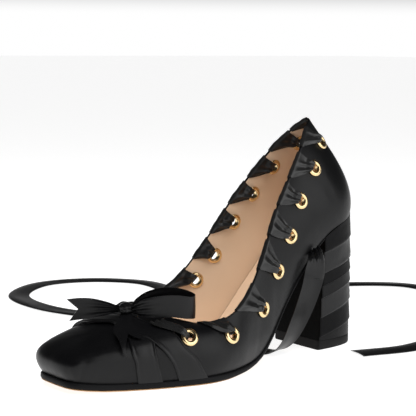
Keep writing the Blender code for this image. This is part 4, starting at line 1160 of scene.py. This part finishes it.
def build_tie(name, table, seed, node, steps=14, across=13):
    rows = open_spline(table_rows(table), steps)
    rows[:, 2] = np.maximum(rows[:, 2], TIE_REST)
    line, ways = rows[:, :3], unit(rows[:, 3:6])
    length = lengths_along(line)
    travel = unit(np.gradient(line, axis=0))
    wide = unit(ways - np.sum(ways * travel, 1)[:, None] * travel)
    flat = np.cross(travel, wide)
    flat *= np.where(flat[:, 2:3] < 0, -1, 1)
    s = np.linspace(-0.5, 0.5, across)
    cup = 0.5 + 0.5 * ripple(2.5 * s + 0 * length[:, None], length[:, None] / 22, seed)
    gathered = 1 - ease(length[:, None] / 16)
    width = TIE_WIDE * (1 - 0.45 * gathered)
    pleats = 0.8 * gathered * np.sin(2 * pi * PLEATS * s)
    grid = line[:, None] + wide[:, None] * (s * width)[..., None]
    grid = grid + flat[:, None] * (0.9 * cup * np.cos(pi * s) ** 0.5 + pleats)[..., None]
    thin = flat[:, None] * RIBBON_THICK / 2
    points, faces = cloth_slab(grid + thin, grid - thin)
    piece = add_piece(name, points, faces, [ribbon_satin], [node])
    return round(length[-1] / 1000, 3)


print("ties, metres:", build_tie("ankle_tie_lateral", TIE_LATERAL, 4, "tie_lateral"),
      build_tie("ankle_tie_medial", TIE_MEDIAL, 6, "tie_medial"))

# %% [markdown]
# ## Studio
# Black satin shows nothing but what it mirrors. A tall soft box ahead of the toe and to its
# side gives the near faces their pale sheen, and stops short of the ceiling, so the top of the
# toe stays black. A low card on the other side and a bright line at the horizon light the rest.
# One large lamp above brightens leather and floor, but is hidden from what the satin mirrors.
# The floor is a plain pale sheet that glows a little, as a lit studio floor would look.

# %% Floor, sky and lamps
BOX_TURN, BOX_HALF, BOX_SOFT = radians(112), radians(21), radians(12)
BOX_BRIGHT, CARD_BRIGHT, DARK_ROOM = 2.2, 0.7, 0.03


def soft_step(tree, value, start, end):
    """0 at start, 1 at end, with a soft change between."""
    step = add(tree, "ShaderNodeMapRange", {"interpolation_type": "SMOOTHSTEP"}, Value=value,
               From_Min=start, From_Max=end)
    return step, 0


def build_studio():
    floor_mesh = bpy.data.meshes.new("floor")
    reach = 14.0
    floor_mesh.from_pydata([(-reach, -reach, 0), (reach, -reach, 0), (reach, reach, 0),
                            (-reach, reach, 0)], [], [(0, 1, 2, 3)])
    floor = bpy.data.objects.new("floor", floor_mesh)
    bpy.context.scene.collection.objects.link(floor)
    paper, tree, shader, place = start_material("pale_paper_floor")
    grain = add(tree, "ShaderNodeTexNoise", Vector=place, Scale=300.0)
    bump = add(tree, "ShaderNodeBump", Height=(grain, "Fac"), Strength=0.1, Distance=0.0002)
    fill(tree, shader, Normal=(bump, 0), Base_Color=colour("#a8a8a8"), Roughness=0.9,
         Specular_IOR_Level=0.1, Emission_Color=colour("#ffffff"), Emission_Strength=0.85)
    floor_mesh.materials.append(paper)
    sky = bpy.data.worlds.new("studio")
    bpy.context.scene.world = sky
    sky.use_nodes = True
    tree = sky.node_tree
    light = next(n for n in tree.nodes if n.type == "BACKGROUND")
    way = (add(tree, "ShaderNodeTexCoord"), "Generated")
    split = add(tree, "ShaderNodeSeparateXYZ", Vector=way)
    lamp_way = (np.sin(BOX_TURN), -np.cos(BOX_TURN), 0.0)
    vectors = "ShaderNodeVectorMath"
    level = maths(tree, "MULTIPLY", way, (1.0, 1.0, 0.0), kind=vectors)
    level = maths(tree, "NORMALIZE", (level, 0), kind=vectors)
    facing = maths(tree, "DOT_PRODUCT", (level, 0), lamp_way, kind=vectors)
    front = soft_step(tree, (facing, "Value"), np.cos(BOX_HALF + BOX_SOFT), np.cos(BOX_HALF))
    below = soft_step(tree, (split, "Z"), 0.80, 0.60)
    wall = soft_step(tree, (split, "Z"), 0.06, 0.02)
    across = soft_step(tree, (facing, "Value"), -0.1, -0.6)
    skirting = soft_step(tree, (split, "Z"), 0.22, 0.08)
    card = maths(tree, "MULTIPLY", across, skirting)
    box = maths(tree, "MULTIPLY", front, below)
    bright = maths(tree, "MULTIPLY_ADD", (box, 0), BOX_BRIGHT, DARK_ROOM)
    bright = maths(tree, "MULTIPLY_ADD", (card, 0), CARD_BRIGHT, (bright, 0))
    total = maths(tree, "MAXIMUM", (bright, 0), wall)
    fill(tree, light, Strength=(total, 0), Color=colour("#ffffff"))
    return floor


def soft_lamp(name, place, aim, size, power):
    lamp = bpy.data.lights.new(name, "AREA")
    lamp.shape, lamp.size, lamp.size_y, lamp.energy = "RECTANGLE", size[0], size[1], power
    holder = bpy.data.objects.new(name, lamp)
    bpy.context.scene.collection.objects.link(holder)
    holder.location = place
    holder.rotation_euler = (Vector(aim) - Vector(place)).to_track_quat("-Z", "Y").to_euler()
    return holder


build_studio()
ceiling = soft_lamp("ceiling_lamp", (0.15, -0.25, 0.95), (0, 0, 0.05), (1.1, 1.1), 15.0)
ceiling.visible_glossy = False
bpy.context.scene.view_settings.view_transform = "Standard"
print("studio ready")
